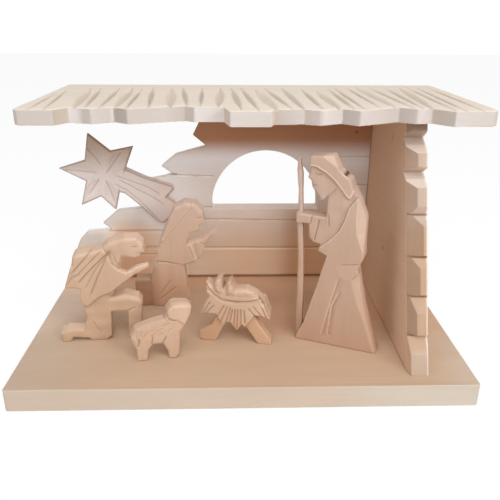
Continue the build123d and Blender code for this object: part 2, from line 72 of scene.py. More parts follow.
# The photo's camera in millimetres and degrees
CAMERA_PLACE = (-7.09, -445.44, 262.78)
CAMERA_TURN, CAMERA_DOWN, CAMERA_ROLL = -1.783, 22.171, 0.369
CAMERA_SENSOR, CAMERA_LENS = 36, 41.59


# Lines and fields on a board

def sized(shares, width, height):
    """Points from shares of a width and a height."""
    return np.array(shares, float) * (width, height)


def sides(line, closed):
    """Pairs of neighbouring points of a line."""
    return zip(line, np.roll(line, -1, axis=0)) if closed else zip(line[:-1], line[1:])


def inside(u, v, outline):
    """Where points lie inside an outline: the ray to their right meets an odd number of its sides."""
    within = np.zeros(np.shape(u), bool)
    for (u0, v0), (u1, v1) in sides(outline, True):
        if v0 != v1:
            between = (v0 > v) != (v1 > v)
            within ^= between & (u < u0 + (v - v0) * (u1 - u0) / (v1 - v0))
    return within


def to_side(u, v, start, end):
    """Distance of points to one side: to its nearest point, which is held between its ends."""
    (u0, v0), (u1, v1) = start, end
    du, dv = u1 - u0, v1 - v0
    along = np.clip(((u - u0) * du + (v - v0) * dv) / (du * du + dv * dv), 0, 1)
    return np.hypot(u - u0 - along * du, v - v0 - along * dv)


def distance(u, v, line, closed=False):
    """Distance of points to the nearest side of a line."""
    nearest = np.full(np.shape(u), np.inf)
    for start, end in sides(line, closed):
        nearest = np.minimum(nearest, to_side(u, v, start, end))
    return nearest


def beside(u, v, line):
    """Distance to an open line, counted positive on its left side and negative on its right side."""
    nearest = np.full(np.shape(u), np.inf)
    hand = np.zeros(np.shape(u))
    for (u0, v0), (u1, v1) in sides(line, False):
        away = to_side(u, v, (u0, v0), (u1, v1))
        closer = away < nearest
        nearest = np.where(closer, away, nearest)
        hand = np.where(closer, np.sign((u1 - u0) * (v - v0) - (v1 - v0) * (u - u0)), hand)
    return nearest * hand


def pin_knot(u, v, place, width, height, tone):
    """Tone of a pin knot: a bell around its place, with a width and a height of its own."""
    u0, v0 = place
    return tone * np.exp(-((u - u0) / width) ** 2 - ((v - v0) / height) ** 2)


def eased(outline, reach):
    """The outline as close points, its corners rounded by a weighted moving mean over the reach."""
    closed = np.vstack([outline, outline[:1]])
    run = np.concatenate([[0], np.cumsum(np.hypot(*np.diff(closed, axis=0).T))])
    count = int(run[-1] / RIM_STEP)
    at = np.arange(count) / count * run[-1]
    points = np.column_stack([np.interp(at, run, closed[:, 0]), np.interp(at, run, closed[:, 1])])
    half = int(reach / RIM_STEP)
    weights = np.hanning(2 * half + 3)[1:-1]
    weights /= weights.sum()
    padded = np.vstack([points[-half:], points, points[:half]])
    return np.column_stack([np.convolve(padded[:, k], weights, "valid") for k in (0, 1)])


class Relief:
    """Heights carved on a board's face, in millimetres above its sawn ground, and the tone painted on it.

    The tone is 0 on plain wood, 1 for painted shade in the bottom of a cut, 2.5 in a knot, -1 for a painted
    highlight on an edge and -2 for stronger painted light on a face.
    """

    def __init__(self, u, v, width, height, away):
        self.u, self.v, self.width, self.height, self.away = u, v, width, height, away
        self.heights = np.zeros(np.shape(u))
        self.tone = np.zeros(np.shape(u))

    def line(self, shares):
        """Points from shares of the board."""
        return sized(shares, self.width, self.height)

    def darken(self, amount):
        """Raise the tone to an amount where that is above 0."""
        self.tone = np.where(amount > 0, np.maximum(self.tone, amount), self.tone)

    def field(self, shares, level, bevel, drop, pale=-0.5, dark=0.35):
        """Raise the field inside an outline to a level, with a bevel along its edge painted as a highlight
        and a line of painted shade outside it.
        """
        outline = self.line(shares)
        within = inside(self.u, self.v, outline) & (self.heights < level)
        depth = distance(self.u, self.v, outline, True)
        raised = level - drop * np.clip(1 - depth / bevel, 0, 1)
        self.heights = np.where(within, np.maximum(self.heights, raised), self.heights)
        self.tone = np.where(within, np.where(depth < bevel, pale, 0), self.tone)
        self.darken(np.where(within, 0, np.clip(1 - depth / LINE_REACH, 0, 1) * dark))

    def groove(self, shares, depth, width, tone=1.0):
        """Cut a V along a line, with painted shade in it."""
        cut = np.clip(1 - distance(self.u, self.v, self.line(shares)) / width, 0, 1)
        self.heights = self.heights - depth * cut
        self.darken(tone * cut)

    def fold(self, shares, depth, steep, gentle, tone):
        """Cut a fold along a line: steep on its left side, running out gently on its right side, with
        painted shade along the line.
        """
        away = beside(self.u, self.v, self.line(shares))
        cut = np.where(away > 0, np.clip(1 - away / steep, 0, 1), np.clip(1 + away / gentle, 0, 1))
        self.heights = self.heights - depth * cut
        self.darken(tone * np.clip(1 - np.abs(away) / LINE_REACH, 0, 1))

    def ridge(self, shares, height, width, tone):
        """Leave a ridge standing along a line, with a painted highlight on it."""
        stand = np.clip(1 - distance(self.u, self.v, self.line(shares)) / width, 0, 1)
        self.heights = self.heights + height * stand
        self.tone = np.where(stand > 0.2, tone, self.tone)

    def facet(self, shares, line, drop, reach, tone=0.0):
        """Pare the field inside an outline down from a line, by a drop over a reach, as one flat facet with
        a tone of its own: painted light where the tone is below 0.
        """
        within = inside(self.u, self.v, self.line(shares))
        away = distance(self.u, self.v, self.line(line))
        self.heights = self.heights - np.where(within, drop / reach * away, 0)
        self.tone = np.where(within, tone, self.tone)

    def shoulder(self, shares, width, drop, tone=-0.3):
        """Round the wood off towards a line in a quarter of an ellipse, with painted light growing paler
        towards the line.
        """
        near = np.clip(1 - distance(self.u, self.v, self.line(shares)) / width, 0, 1)
        self.heights = self.heights - drop * (1 - np.sqrt(1 - near**2))
        self.tone = np.where(self.tone > 0, self.tone, np.minimum(self.tone, tone * near))

    def patch(self, shares, tone):
        """Paint the field inside an outline with a tone of its own: painted shade above 0, painted light
        below 0.
        """
        self.tone = np.where(inside(self.u, self.v, self.line(shares)), tone, self.tone)

    def ease(self, width, drop):
        """Bevel the rim of the board."""
        self.heights = self.heights - drop * np.clip(1 - self.away / width, 0, 1)

    def ripple(self, size, height):
        """Leave the shallow unevenness of knife work: three crossing waves."""
        for turn, share in ((0.4, 1.0), (1.5, 0.83), (2.6, 1.21)):
            run = self.u * math.cos(turn) + self.v * math.sin(turn)
            wave = np.sin(2 * math.pi * run / (size * share) + 5 * turn)
            self.heights = self.heights - height * (1 + wave) / 2

    def rim(self, width, tone):
        """Paint shade on the wood along the edge of the board."""
        self.darken(tone * np.clip(1 - self.away / width, 0, 1))

    def knot(self, shares, width, height, tone):
        """A dark pin knot."""
        self.darken(pin_knot(self.u, self.v, self.line(shares), width, height, tone))

    def sink(self, shares, radius):
        """Cut a cone for a screw head."""
        u0, v0 = self.line(shares)
        self.heights = self.heights - np.clip(radius - np.hypot(self.u - u0, self.v - v0), 0, None)

    def gouge(self, start, end, width, depth, tone):
        """Cut a boat-shaped hollow from a start to an end, pointed at both and round in section, with
        painted shade in it.
        """
        (u0, v0), (u1, v1) = self.line([start, end])
        length = math.hypot(u1 - u0, v1 - v0)
        along = ((self.u - u0) * (u1 - u0) + (self.v - v0) * (v1 - v0)) / length**2
        across = ((self.u - u0) * (v1 - v0) - (self.v - v0) * (u1 - u0)) / length
        half = width / 2 * np.clip(1 - (2 * along - 1) ** 2, 1e-6, None)
        hollow = np.clip(1 - (across / half) ** 2, 0, 1) * np.clip(half / (width / 2), 0, 1)
        hollow = np.where((along > 0) & (along < 1), hollow, 0)
        self.heights = self.heights - depth * hollow
        self.darken(tone * np.clip(1.6 * hollow, 0, 1))


# Boards with two carved faces

def upright(left, front, bottom, turn=0.0):
    """Place on an upright board: across, up and depth behind its front, turned about the vertical."""
    across = np.array([math.cos(math.radians(turn)), math.sin(math.radians(turn)), 0])
    behind = np.array([-across[1], across[0], 0])
    corner = np.array([left, front, bottom])

    def place(u, v, n):
        return corner + np.outer(u, across) + np.outer(v, (0, 0, 1)) + np.outer(n, behind)

    return place


def carved_board(name, outlines, front, back, place, spacing, easing, holes=(), rim_tone=None):
    """A board sawn to the union of some outlines and carved on both faces.

    The surface is a function of two parameters, across and up, on a grid: front and back give the depth
    of each face and its painted tone at every grid point, and a rim with a painted tone of its own joins
    them around the edge. Points on the edge of the grid are drawn onto the outline.
    """
    spacing = np.broadcast_to(spacing, 2).astype(float)
    rims = [eased(outline, easing) for outline in outlines]
    hole_rims = [eased(hole, easing) for hole in holes]
    coarse = [rim[::6] for rim in rims]
    coarse_holes = [rim[::6] for rim in hole_rims]
    low = np.min([rim.min(0) for rim in rims], axis=0) - spacing
    high = np.max([rim.max(0) for rim in rims], axis=0) + spacing
    count = np.ceil((high - low) / spacing).astype(int) + 1
    u, v = np.meshgrid(*[low[k] + np.arange(count[k]) * spacing[k] for k in (0, 1)], indexing="ij")
    middle_u, middle_v = u[:-1, :-1] + spacing[0] / 2, v[:-1, :-1] + spacing[1] / 2
    kept = np.zeros(middle_u.shape, bool)
    for outline in coarse:
        kept |= inside(middle_u, middle_v, outline)
    for hole in coarse_holes:
        kept &= ~inside(middle_u, middle_v, hole)
    for _ in range(4):
        a, b, c, d = kept[:-1, :-1], kept[1:, :-1], kept[1:, 1:], kept[:-1, 1:]
        touching = (a & c & ~b & ~d) | (b & d & ~a & ~c)
        for part in (a, b, c, d):
            part |= touching
    padded = np.pad(kept, 1)
    around = padded[:-1, :-1].astype(int) + padded[1:, :-1] + padded[:-1, 1:] + padded[1:, 1:]
    used = around > 0
    edge = used & (around < 4)

    # Draw the points on the edge of the grid onto the outline
    border = []
    for k, rim in enumerate(rims):
        free = np.ones(len(rim), bool)
        for other in coarse[:k] + coarse[k + 1:] + coarse_holes:
            free &= ~inside(*rim.T, other)
        border.append(rim[free])
    border = np.vstack(border + hole_rims)
    loose = np.column_stack([u[edge], v[edge]])
    nearest = np.concatenate([
        np.argmin(((part[:, None] - border) ** 2).sum(-1), axis=1)
        for part in np.array_split(loose, len(loose) // 200 + 1)
    ])
    drawn = loose + SNAP * (border[nearest] - loose)
    u[edge], v[edge] = drawn[:, 0], drawn[:, 1]

    # Points of both faces, then the faces and the rim between them
    flat_u, flat_v = u[used], v[used]
    (front_depth, front_tone), (back_depth, back_tone) = front(flat_u, flat_v), back(flat_u, flat_v)
    points = np.vstack([place(flat_u, flat_v, front_depth), place(flat_u, flat_v, back_depth)])
    number = np.full(u.shape, -1)
    number[used] = np.arange(len(flat_u))
    a, b, c, d = number[:-1, :-1], number[1:, :-1], number[1:, 1:], number[:-1, 1:]
    lift = len(flat_u)
    squares = np.column_stack([a[kept], b[kept], c[kept], d[kept]])
    faces = np.vstack([squares, squares[:, [0, 3, 2, 1]] + lift])
    strips = []
    neighbours = (padded[1:-1, :-2], padded[2:, 1:-1], padded[1:-1, 2:], padded[:-2, 1:-1])
    for neighbour, start, end in zip(neighbours, (a, b, c, d), (b, c, d, a)):
        open_side = kept & ~neighbour
        first, last = start[open_side], end[open_side]
        strips.append(np.column_stack([last, first, first + lift, last + lift]))
    strips = np.vstack(strips)
    around_tone = rim_tone(flat_u, flat_v) if rim_tone else np.zeros(lift)
    tone = np.vstack([np.concatenate([front_tone, back_tone])[faces], np.tile(around_tone, 2)[strips]])
    return surface(name, points * MM, np.vstack([faces, strips]), tone)


def placed(name, data):
    """A new object in the scene."""
    made = bpy.data.objects.new(name, data)
    scene.collection.objects.link(made)
    return made


def surface(name, points, quads, tone=None):
    """A mesh object at the origin from points and four-cornered faces, with a tone at each corner."""
    mesh = bpy.data.meshes.new(name)
    mesh.vertices.add(len(points))
    mesh.vertices.foreach_set("co", np.ascontiguousarray(points, np.float32).ravel())
    mesh.loops.add(quads.size)
    mesh.loops.foreach_set("vertex_index", np.ascontiguousarray(quads, np.int32).ravel())
    mesh.polygons.add(len(quads))
    mesh.polygons.foreach_set("loop_start", np.arange(0, quads.size, 4, dtype=np.int32))
    mesh.polygons.foreach_set("use_smooth", np.ones(len(quads), bool))
    mesh.update(calc_edges=True)
    mesh.validate()
    if tone is not None:
        tones = mesh.attributes.new("tone", "FLOAT", "CORNER")
        tones.data.foreach_set("value", tone.astype(np.float32).ravel())
    mesh.set_sharp_from_angle(angle=SHARP_ANGLE)
    return placed(name, mesh)


# Pale wood

def feed(tree, made, inputs):
    """Set the inputs of a node to values, or join them to sockets."""
    for key, value in inputs.items():
        if isinstance(value, bpy.types.NodeSocket):
            tree.links.new(value, made.inputs[key])
        else:
            made.inputs[key].default_value = value


def node(tree, kind, inputs=None, **settings):
    """A new node with its settings and its inputs."""
    made = tree.nodes.new(kind)
    for key, value in settings.items():
        setattr(made, key, value)
    feed(tree, made, inputs or {})
    return made


def node_group(label, sockets):
    """An empty node group with its sockets, the sockets at its start and the node at its end."""
    tree = bpy.data.node_groups.new(label, "ShaderNodeTree")
    for name, way, kind in sockets:
        tree.interface.new_socket(name, in_out=way, socket_type="NodeSocket" + kind)
    return tree, node(tree, "NodeGroupInput").outputs, node(tree, "NodeGroupOutput")


def spread(tree, value, low, high, reach=1.0, **settings):
    """The way of a value from low to high, as 0 to a reach."""
    inputs = {"Value": value, "From Min": low, "From Max": high, "To Max": reach}
    return node(tree, "ShaderNodeMapRange", inputs, **settings).outputs["Result"]


def tinted(tree, colour, tint, amount):
    """A colour times a tint, by an amount."""
    inputs = {"Factor": amount, "A": colour, "B": (*tint, 1)}
    return node(tree, "ShaderNodeMix", inputs, data_type="RGBA", blend_type="MULTIPLY").outputs["Result"]


def grain_group():
    """Pale wood: fine fibres and growth streaks stretched along the first axis, and soft mottling."""
    tree, start, end = node_group("pale wood grain", [
        ("Place", "INPUT", "Vector"), ("Light wood", "INPUT", "Color"), ("Dark wood", "INPUT", "Color"),
        ("Streaks", "INPUT", "Float"), ("Relief", "INPUT", "Float"),
        ("Color", "OUTPUT", "Color"), ("Normal", "OUTPUT", "Vector")])

    def noise(stretch, detail, rough, low, high):
        """Noise stretched along the grain, spread from low to high."""
        place = node(tree, "ShaderNodeVectorMath", {0: start["Place"], 1: stretch}, operation="MULTIPLY")
        made = node(tree, "ShaderNodeTexNoise", {
            "Vector": place.outputs[0], "Scale": 1.0, "Detail": detail, "Roughness": rough})
        return spread(tree, made.outputs["Fac"], low, high)

    def mixed(first, second, share):
        """A share of the second value in the first."""
        inputs = {"Factor": share, "A": first, "B": second}
        return node(tree, "ShaderNodeMix", inputs, data_type="FLOAT").outputs["Result"]

    fibres = noise((24, 900, 900), 3, 0.6, 0.32, 0.68)
    streaks = noise((4, 90, 90), 4, 0.55, 0.34, 0.66)
    mottle = noise((18, 30, 30), 2, 0.5, 0.3, 0.7)
    bands = mixed(streaks, fibres, 0.45)
    amount = node(tree, "ShaderNodeMath", {0: mixed(bands, mottle, 0.35), 1: start["Streaks"]},
                  operation="MULTIPLY", use_clamp=True)
    colour = node(tree, "ShaderNodeMix", {
        "Factor": amount.outputs[0], "A": start["Light wood"], "B": start["Dark wood"]}, data_type="RGBA")
    bump = node(tree, "ShaderNodeBump", {"Distance": 0.0004, "Strength": start["Relief"], "Height": bands})
    feed(tree, end, {"Color": colour.outputs["Result"], "Normal": bump.outputs["Normal"]})
    return tree


def shade_and_knot_group():
    """Colour from the tone: painted shade in cuts, nearly black in knots and the deepest painted shade,
    painted highlights on edges and stronger painted light on faces.
    """
    tree, start, end = node_group("painted shade, light and knots", [
        ("Color", "INPUT", "Color"), ("Tone", "INPUT", "Float"), ("Color", "OUTPUT", "Color")])
    colour = start["Color"]
    # Painted shade, the knots' own dark colour with the deepest painted shade, painted highlights, stronger
    # painted light
    tints = [
        (0, 1, (0.62, 0.54, 0.47)), (1, 2.5, (0.25, 0.2, 0.16)),
        (0, -1, (1.3, 1.34, 1.38)), (-1, -2, (1.2, 1.32, 1.45)),
    ]
    for low, high, tint in tints:
        colour = tinted(tree, colour, tint, spread(tree, start["Tone"], low, high))
    feed(tree, end, {"Color": colour})
    return tree


GRAIN = grain_group()
SHADE_AND_KNOTS = shade_and_knot_group()
ALONG = {"x": (0, 0, 0), "y": (0, 0, math.radians(90)), "z": (0, math.radians(90), 0)}


def new_material(name, values):
    """A new material whose shader has some values."""
    material = bpy.data.materials.new(name)
    material.use_nodes = True
    feed(material.node_tree, material.node_tree.nodes["Principled BSDF"], values)
    return material


def wood(name, light, dark, along, tints=()):
    """A bare wood finish with its grain along one axis of the frame.

    Each tint is a colour to multiply by, where all its ranges hold: along X, Y or Z in metres, or by the
    normal's Y as front or Z as top. Most tints are painted light and shade; the tints on back faces give
    the wood its own warmer colour.
    """
    material = new_material(name, {"Roughness": 0.62, "Specular IOR Level": 0.25})
    tree = material.node_tree
    places = node(tree, "ShaderNodeTexCoord").outputs["Object"]
    turned = node(tree, "ShaderNodeMapping", {"Vector": places, "Rotation": ALONG[along]})
    grain = node(tree, "ShaderNodeGroup", node_tree=GRAIN, inputs={
        "Place": turned.outputs["Vector"], "Light wood": (*light, 1), "Dark wood": (*dark, 1),
        "Streaks": 0.6, "Relief": 0.25})
    tone = node(tree, "ShaderNodeAttribute", attribute_name="tone")
    shade = node(tree, "ShaderNodeGroup", node_tree=SHADE_AND_KNOTS, inputs={
        "Color": grain.outputs["Color"], "Tone": tone.outputs["Fac"]})
    normal = node(tree, "ShaderNodeNewGeometry").outputs["Normal"]
    place = node(tree, "ShaderNodeSeparateXYZ", {0: places}).outputs
    facing = node(tree, "ShaderNodeSeparateXYZ", {0: normal}).outputs
    values = {"X": place["X"], "Y": place["Y"], "Z": place["Z"], "front": facing["Y"], "top": facing["Z"]}
    colour = shade.outputs["Color"]
    for ranges, tint in tints:
        amount = 1.0
        for axis, low, high in ranges:
            amount = spread(tree, values[axis], low, high, amount, interpolation_type="SMOOTHSTEP")
        colour = tinted(tree, colour, tint, amount)
    feed(tree, tree.nodes["Principled BSDF"], {"Base Color": colour, "Normal": grain.outputs["Normal"]})
    return material


on_front, on_back, on_top = ("front", -0.3, -0.8), ("front", 0.2, 0.7), ("top", 0.2, 0.8)
on_logs = ("front", -0.2, -0.7)
# Painted light on faces that look up
painted_top_light = ([on_top], (1.12, 1.16, 1.22))
# Painted light and shade: cooler and lighter above 80 mm, warmer towards the foot, and the staff warmer low
# down and cooler and lighter high up
standing_wood = wood("standing figure wood", (0.505, 0.335, 0.24), (0.41, 0.255, 0.175), "z", tints=[
    painted_top_light, ([("Z", 0.08, 0.14)], (1.02, 1.08, 1.15)), ([("Z", 0.07, 0.02)], (0.98, 0.93, 0.88)),
    ([("X", 0.048, 0.044), ("Z", 0.1, 0.06)], (1.03, 0.95, 0.87)),
    ([("X", 0.048, 0.044), ("Z", 0.115, 0.135)], (1.05, 1.1, 1.16))])
# Painted light and shade: warmer and darker low on the front, cooler and lighter higher up
mother_wood = wood("mother figure wood", (0.585, 0.405, 0.29), (0.47, 0.30, 0.205), "z", tints=[
    painted_top_light, ([("Z", 0.07, 0.03), on_front], (1.0, 0.88, 0.8)), ([("Z", 0.08, 0.12)], (1.02, 1.08, 1.2))])
# Painted light and shade: a little cooler up high, darker at the far left, and warmer low down on the
# manger
figure_wood = wood("carved figure wood", (0.58, 0.395, 0.275), (0.465, 0.29, 0.19), "z", tints=[
    painted_top_light, ([("Z", 0.05, 0.1)], (0.98, 1.0, 1.05)), ([("X", -0.08, -0.095)], (0.95, 0.94, 0.9)),
    ([("X", -0.038, -0.036), ("Z", 0.045, 0.035)], (1.02, 0.95, 0.86))])
# Painted shade of the roof on the upper rays, a little warmer towards the tail; the pale grey front is
# partly the wood's own colour and partly painted light, and back faces keep the warmer wood colour
star_wood = wood("star wood", (0.81, 0.72, 0.68), (0.70, 0.60, 0.55), "z", tints=[
    ([("Z", 0.118, 0.16)], (0.63, 0.52, 0.43)), ([("X", -0.085, -0.07)], (1.0, 0.94, 0.91)),
    ([on_back], (0.82, 0.68, 0.53))])
# Wall: the near-white colour is painted light on the front; back faces get the wood's own warmer colour
wall_wood = wood("wall wood", (0.95, 0.92, 0.92), (0.81, 0.77, 0.75), "x", tints=[
    # Painted orange shade of the roof, high on the front
    ([("Z", 0.138, 0.158), on_front], (0.55, 0.285, 0.157)),
    # Painted warm light bounced from the base, low on the front
    ([("Z", 0.1, 0.04), on_front], (0.97, 0.80, 0.63)),
    # More painted shade of the roof high up towards the right, and painted light on faces that look up
    ([("X", -0.08, 0.005), ("Z", 0.138, 0.115)], (0.85, 0.76, 0.68)), ([on_top], (1.4, 1.4, 1.38)),
    # Painted shade behind the shepherd
    ([("X", -0.07, -0.1), ("X", -0.13, -0.115), ("Z", 0.085, 0.06), on_front], (0.86, 0.66, 0.52)),
    # Painted shade behind the standing figure
    ([("X", 0.035, 0.055), ("Z", 0.105, 0.07), on_front], (0.88, 0.74, 0.62)),
    ([on_back], (0.78, 0.61, 0.44)),
    # Painted grey shade low down at the far left
    ([("X", -0.125, -0.14), ("Z", 0.07, 0.062), on_front], (0.76, 0.8, 0.83)),
    # Painted shade on a band at the left, about 70 to 110 mm up
    ([("X", -0.085, -0.1), ("Z", 0.068, 0.076), ("Z", 0.112, 0.1), on_front], (0.88, 0.86, 0.83))])
# Side wall: tints of painted light and shade on the log ends and facets
side_wood = wood("side wall wood", (0.80, 0.565, 0.40), (0.68, 0.44, 0.29), "y", tints=[
    # Painted shade on the log ends away from the outer edge, and painted cool light on the upper top facets
    ([("X", 0.136, 0.134), on_logs], (0.53, 0.5, 0.47)), ([("Z", 0.11, 0.13), on_top], (0.9, 1.02, 1.15)),
    # Painted cool light on the upper and the lowest log ends
    ([("Z", 0.11, 0.13), on_logs], (1.1, 1.2, 1.38)), ([("Z", 0.037, 0.031), on_logs], (1.06, 1.17, 1.32)),
    # Painted cool light on the outer strip
    ([("X", 0.134, 0.1355), ("front", -0.3, -0.6)], (0.88, 0.98, 1.1)),
    # Painted shade of the roof on the top log end
    ([("Z", 0.176, 0.19), on_logs], (0.6, 0.52, 0.48))])
# Painted light and shade: the pale colour lights the top, and front faces are painted darker and greyer
roof_wood = wood("roof wood", (0.90, 0.79, 0.67), (0.80, 0.67, 0.55), "x", tints=[
    ([on_front], (0.62, 0.63, 0.68))])
# Base: tints of painted light and shade
base_wood = wood("base wood", (0.595, 0.42, 0.29), (0.495, 0.33, 0.215), "x", tints=[
    # Painted cool light on the front, and painted light on the top right of the side wall
    ([on_front], (0.94, 1.075, 1.22)), ([("X", 0.13, 0.17), on_top], (1.08, 1.2, 1.34)),
    # Painted light on the right of the front
    ([("X", 0.05, 0.12), on_front], (1.03, 1.1, 1.16)),
    # Painted light on the top towards the back
    ([("Y", 0.03, 0.085), on_top], (1.3, 1.2, 1.15)),
    # Painted light on the top behind the shepherd, over its shade
    ([("X", -0.11, -0.15), ("Y", -0.045, -0.005), on_top], (1.2, 1.26, 1.33)),
    # Painted cool light on the top towards the left
    ([("X", -0.08, -0.165), on_top], (0.98, 1.04, 1.11)),
    # Painted reddish shade of the standing figure on the top
    ([("X", -0.01, 0.02), ("Y", -0.05, -0.01), ("Y", 0.07, 0.03), on_top], (1.01, 0.89, 0.82)),
    # Painted shade along the foot of the back wall
    ([("Y", 0.0815, 0.0845), on_top], (0.62, 0.54, 0.47))])
dowel_wood = wood("dowel wood", (0.66, 0.48, 0.32), (0.52, 0.35, 0.2), "z")
screw_steel = new_material("screw steel", {
    "Base Color": (0.62, 0.62, 0.63, 1), "Metallic": 1.0, "Roughness": 0.35})


def dress(piece, material):
    """Give a piece its one material."""
    piece.data.materials.clear()
    piece.data.materials.append(material)


finishes = {
    "base_board": base_wood, "back_wall": wall_wood, "side_wall": side_wood, "roof_board": roof_wood,
    "comet_star": star_wood, "standing_figure": standing_wood, "mother_figure": mother_wood,
    "shepherd_figure": figure_wood, "sheep": figure_wood, "manger": figure_wood,
    "roof_dowels": dowel_wood, "star_dowels": dowel_wood,
    "base_screws": screw_steel, "corner_screws": screw_steel,
}
for label, finish in finishes.items():
    dress(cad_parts[label], finish)


# Carved pieces

def carve(u, v, size, parts, steps, depths, nearest):
    """Depth and tone of one carved face: the sawn ground of the parts, and what the steps raise or cut."""
    ground = np.full(np.shape(u), np.inf)
    fallback = np.full(np.shape(u), np.inf)
    away = np.zeros(np.shape(u))
    sign = 1 if nearest else -1
    for outline, depth in zip(parts, depths):
        within = inside(u, v, outline)
        rim = distance(u, v, outline, True)
        ground = np.where(within, np.minimum(ground, sign * depth), ground)
        fallback = np.where(rim < LINE_REACH, np.minimum(fallback, sign * depth), fallback)
        away = np.where(within, np.maximum(away, rim), away)
    ground = np.where(np.isinf(ground), fallback, ground)
    ground = np.where(np.isinf(ground), sign * depths[0], ground)
    relief = Relief(u, v, *size, away)
    for kind, *values in steps:
        getattr(relief, kind)(*values)
    return sign * (ground - relief.heights), relief.tone


def stand_in(piece, label, body):
    """Let a piece take the place of a solid of the frame, move with its body and wear its finish."""
    dress(piece, finishes[label])
    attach(piece, body)
    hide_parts(label)


def carving(name, label, body, size, place, parts, front_steps, back_steps,
            spacing=0.5, easing=0.6, holes=(), rim_tone=None):
    """A piece carved from one board, whose parts have an outline and depths of their front and back."""
    shapes, fronts, backs = zip(*parts)
    outlines = [sized(shares, *size) for shares in shapes]
    piece = carved_board(
        name, outlines,
        lambda u, v: carve(u, v, size, outlines, front_steps, fronts, True),
        lambda u, v: carve(u, v, size, outlines, back_steps, backs, False),
        place, spacing, easing, [sized(hole, *size) for hole in holes], rim_tone)
    stand_in(piece, label, body)


def straight_cuts(rows, depth, width, tone):
    """Straight grooves of one kind, each from a first point to a second."""
    return [("groove", [(u0, v0), (u1, v1)], depth, width, tone) for u0, v0, u1, v1 in rows]


# Standing figure with hood, cape, robe and staff
standing_body = [
    (0.09, 0.0), (1.0, 0.0), (0.97, 0.04), (0.905, 0.12), (0.823, 0.245), (0.758, 0.38), (0.73, 0.45),
    (0.785, 0.515), (0.772, 0.58), (0.77, 0.708), (0.696, 0.797), (0.621, 0.851), (0.594, 0.89),
    (0.47, 0.936), (0.397, 1.0), (0.17, 0.991), (0.164, 0.956), (0.172, 0.925), (0.15, 0.884),
    (0.185, 0.872), (0.2, 0.84), (0.31, 0.777), (0.369, 0.81), (0.36, 0.695), (0.088, 0.699),
    (0.04, 0.704), (0.04, 0.649), (0.178, 0.652), (0.192, 0.579), (0.238, 0.559), (0.313, 0.552),
    (0.3, 0.518), (0.394, 0.496), (0.358, 0.436), (0.303, 0.326), (0.229, 0.205), (0.169, 0.1), (0.1, 0.03),
]
staff = [
    (0.064, 0.0), (0.165, 0.0), (0.139, 0.07), (0.136, 0.265), (0.123, 0.435), (0.104, 0.635),
    (0.083, 0.806), (0.078, 0.896), (0.048, 0.964), (0.026, 0.97), (0.02, 0.91), (0.044, 0.813),
    (0.042, 0.64), (0.065, 0.443), (0.065, 0.214),
]
robe_left = standing_body[31:]
shoulder_edge = [(0.672, 0.81), (0.673, 0.698), (0.691, 0.63), (0.758, 0.55)]
robe_edge = [(0.67, 0.388), (0.748, 0.266), (0.837, 0.173), (0.968, 0.0)]
hood_edge = [(0.3, 0.99), (0.44, 0.95), (0.54, 0.9)]
# Tones here are painted: highlights on the hood and cape edges and the ridges, light on the facets and one
# patch of the robe, shade in folds and cuts
standing_front = [
    ("ripple", 15, 0.25),
    ("field", [(0.148, 0.942), (0.24, 0.94), (0.343, 0.915), (0.43, 0.883), (0.505, 0.844), (0.566, 0.807),
               (0.6, 0.8), (0.7, 0.9), (0.5, 1.1), (0.1, 1.05)], 1.2, 1.5, 0.0, -0.9, 0.15),
    ("field", [(0.588, 0.754), (0.555, 0.691), (0.506, 0.638), (0.426, 0.59), (0.328, 0.547), (0.28, 0.53),
               *robe_left, (0.09, -0.1), (1.1, -0.1), (0.85, 0.47), (0.85, 0.8), (0.68, 0.82)],
     1.0, 1.2, 0.0, -0.6, 0.15),
    ("facet", shoulder_edge + [(0.9, 0.5), (0.9, 0.7), (0.75, 0.85)], shoulder_edge, 6.0, 7.0, -0.35),
    ("facet", robe_edge + [(1.1, 0.0), (0.8, 0.45)], robe_edge, 3.2, 5.0, -0.05),
    ("patch", [(0.5, 0.456), (0.753, 0.472), (0.67, 0.388), (0.555, 0.388)], -0.2),
    ("facet", hood_edge + [(0.7, 0.9), (0.5, 1.1)], hood_edge, 4.0, 7.0, -0.3),
    ("fold", [(0.395, 0.056), (0.472, 0.24), (0.54, 0.377)], 0.8, 0.7, 4.0, 0.6),
    ("ridge", [(0.376, 0.056), (0.452, 0.24), (0.524, 0.377)], 0.3, 1.0, -0.5),
    ("fold", [(0.464, 0.063), (0.492, 0.226), (0.556, 0.302)], 0.7, 0.7, 3.0, 0.6),
    ("ridge", [(0.445, 0.063), (0.473, 0.226), (0.536, 0.302)], 0.3, 1.0, -0.5),
    ("groove", [(0.289, 0.676), (0.249, 0.57)], 0.8, 0.7, 0.8),
    ("groove", [(0.213, 0.696), (0.196, 0.652)], 0.8, 0.7, 0.7),
    ("groove", [(0.366, 0.793), (0.451, 0.845)], 0.5, 0.7, 0.45),
    ("groove", [(0.38, 0.71), (0.39, 0.69), (0.395, 0.655)], 0.7, 0.8, 0.6),
    ("groove", [(0.572, 0.462), (0.756, 0.48)], 0.5, 0.7, 0.6),
    ("groove", [(0.23, 0.906), (0.255, 0.9), (0.285, 0.905)], 0.6, 0.7, 0.8),
    ("groove", [(0.2, 0.853), (0.24, 0.85)], 0.5, 0.7, 0.8),
    ("ease", 1.0, 0.6),
]
carving("standing_carving", "standing_figure", "standing_figure_body", (71.8, 152.7),
        upright(36.404, -35.715, FIGURE_FOOT, -23.2),
        [(standing_body, 2.8, 15.6), (staff, 5.8, 10.8)], standing_front, [("ease", 1.2, 1.0)],
        spacing=0.45, rim_tone=lambda u, v: pin_knot(u, v, (38.2, 139.5), 1.3, 3.0, 2.5))

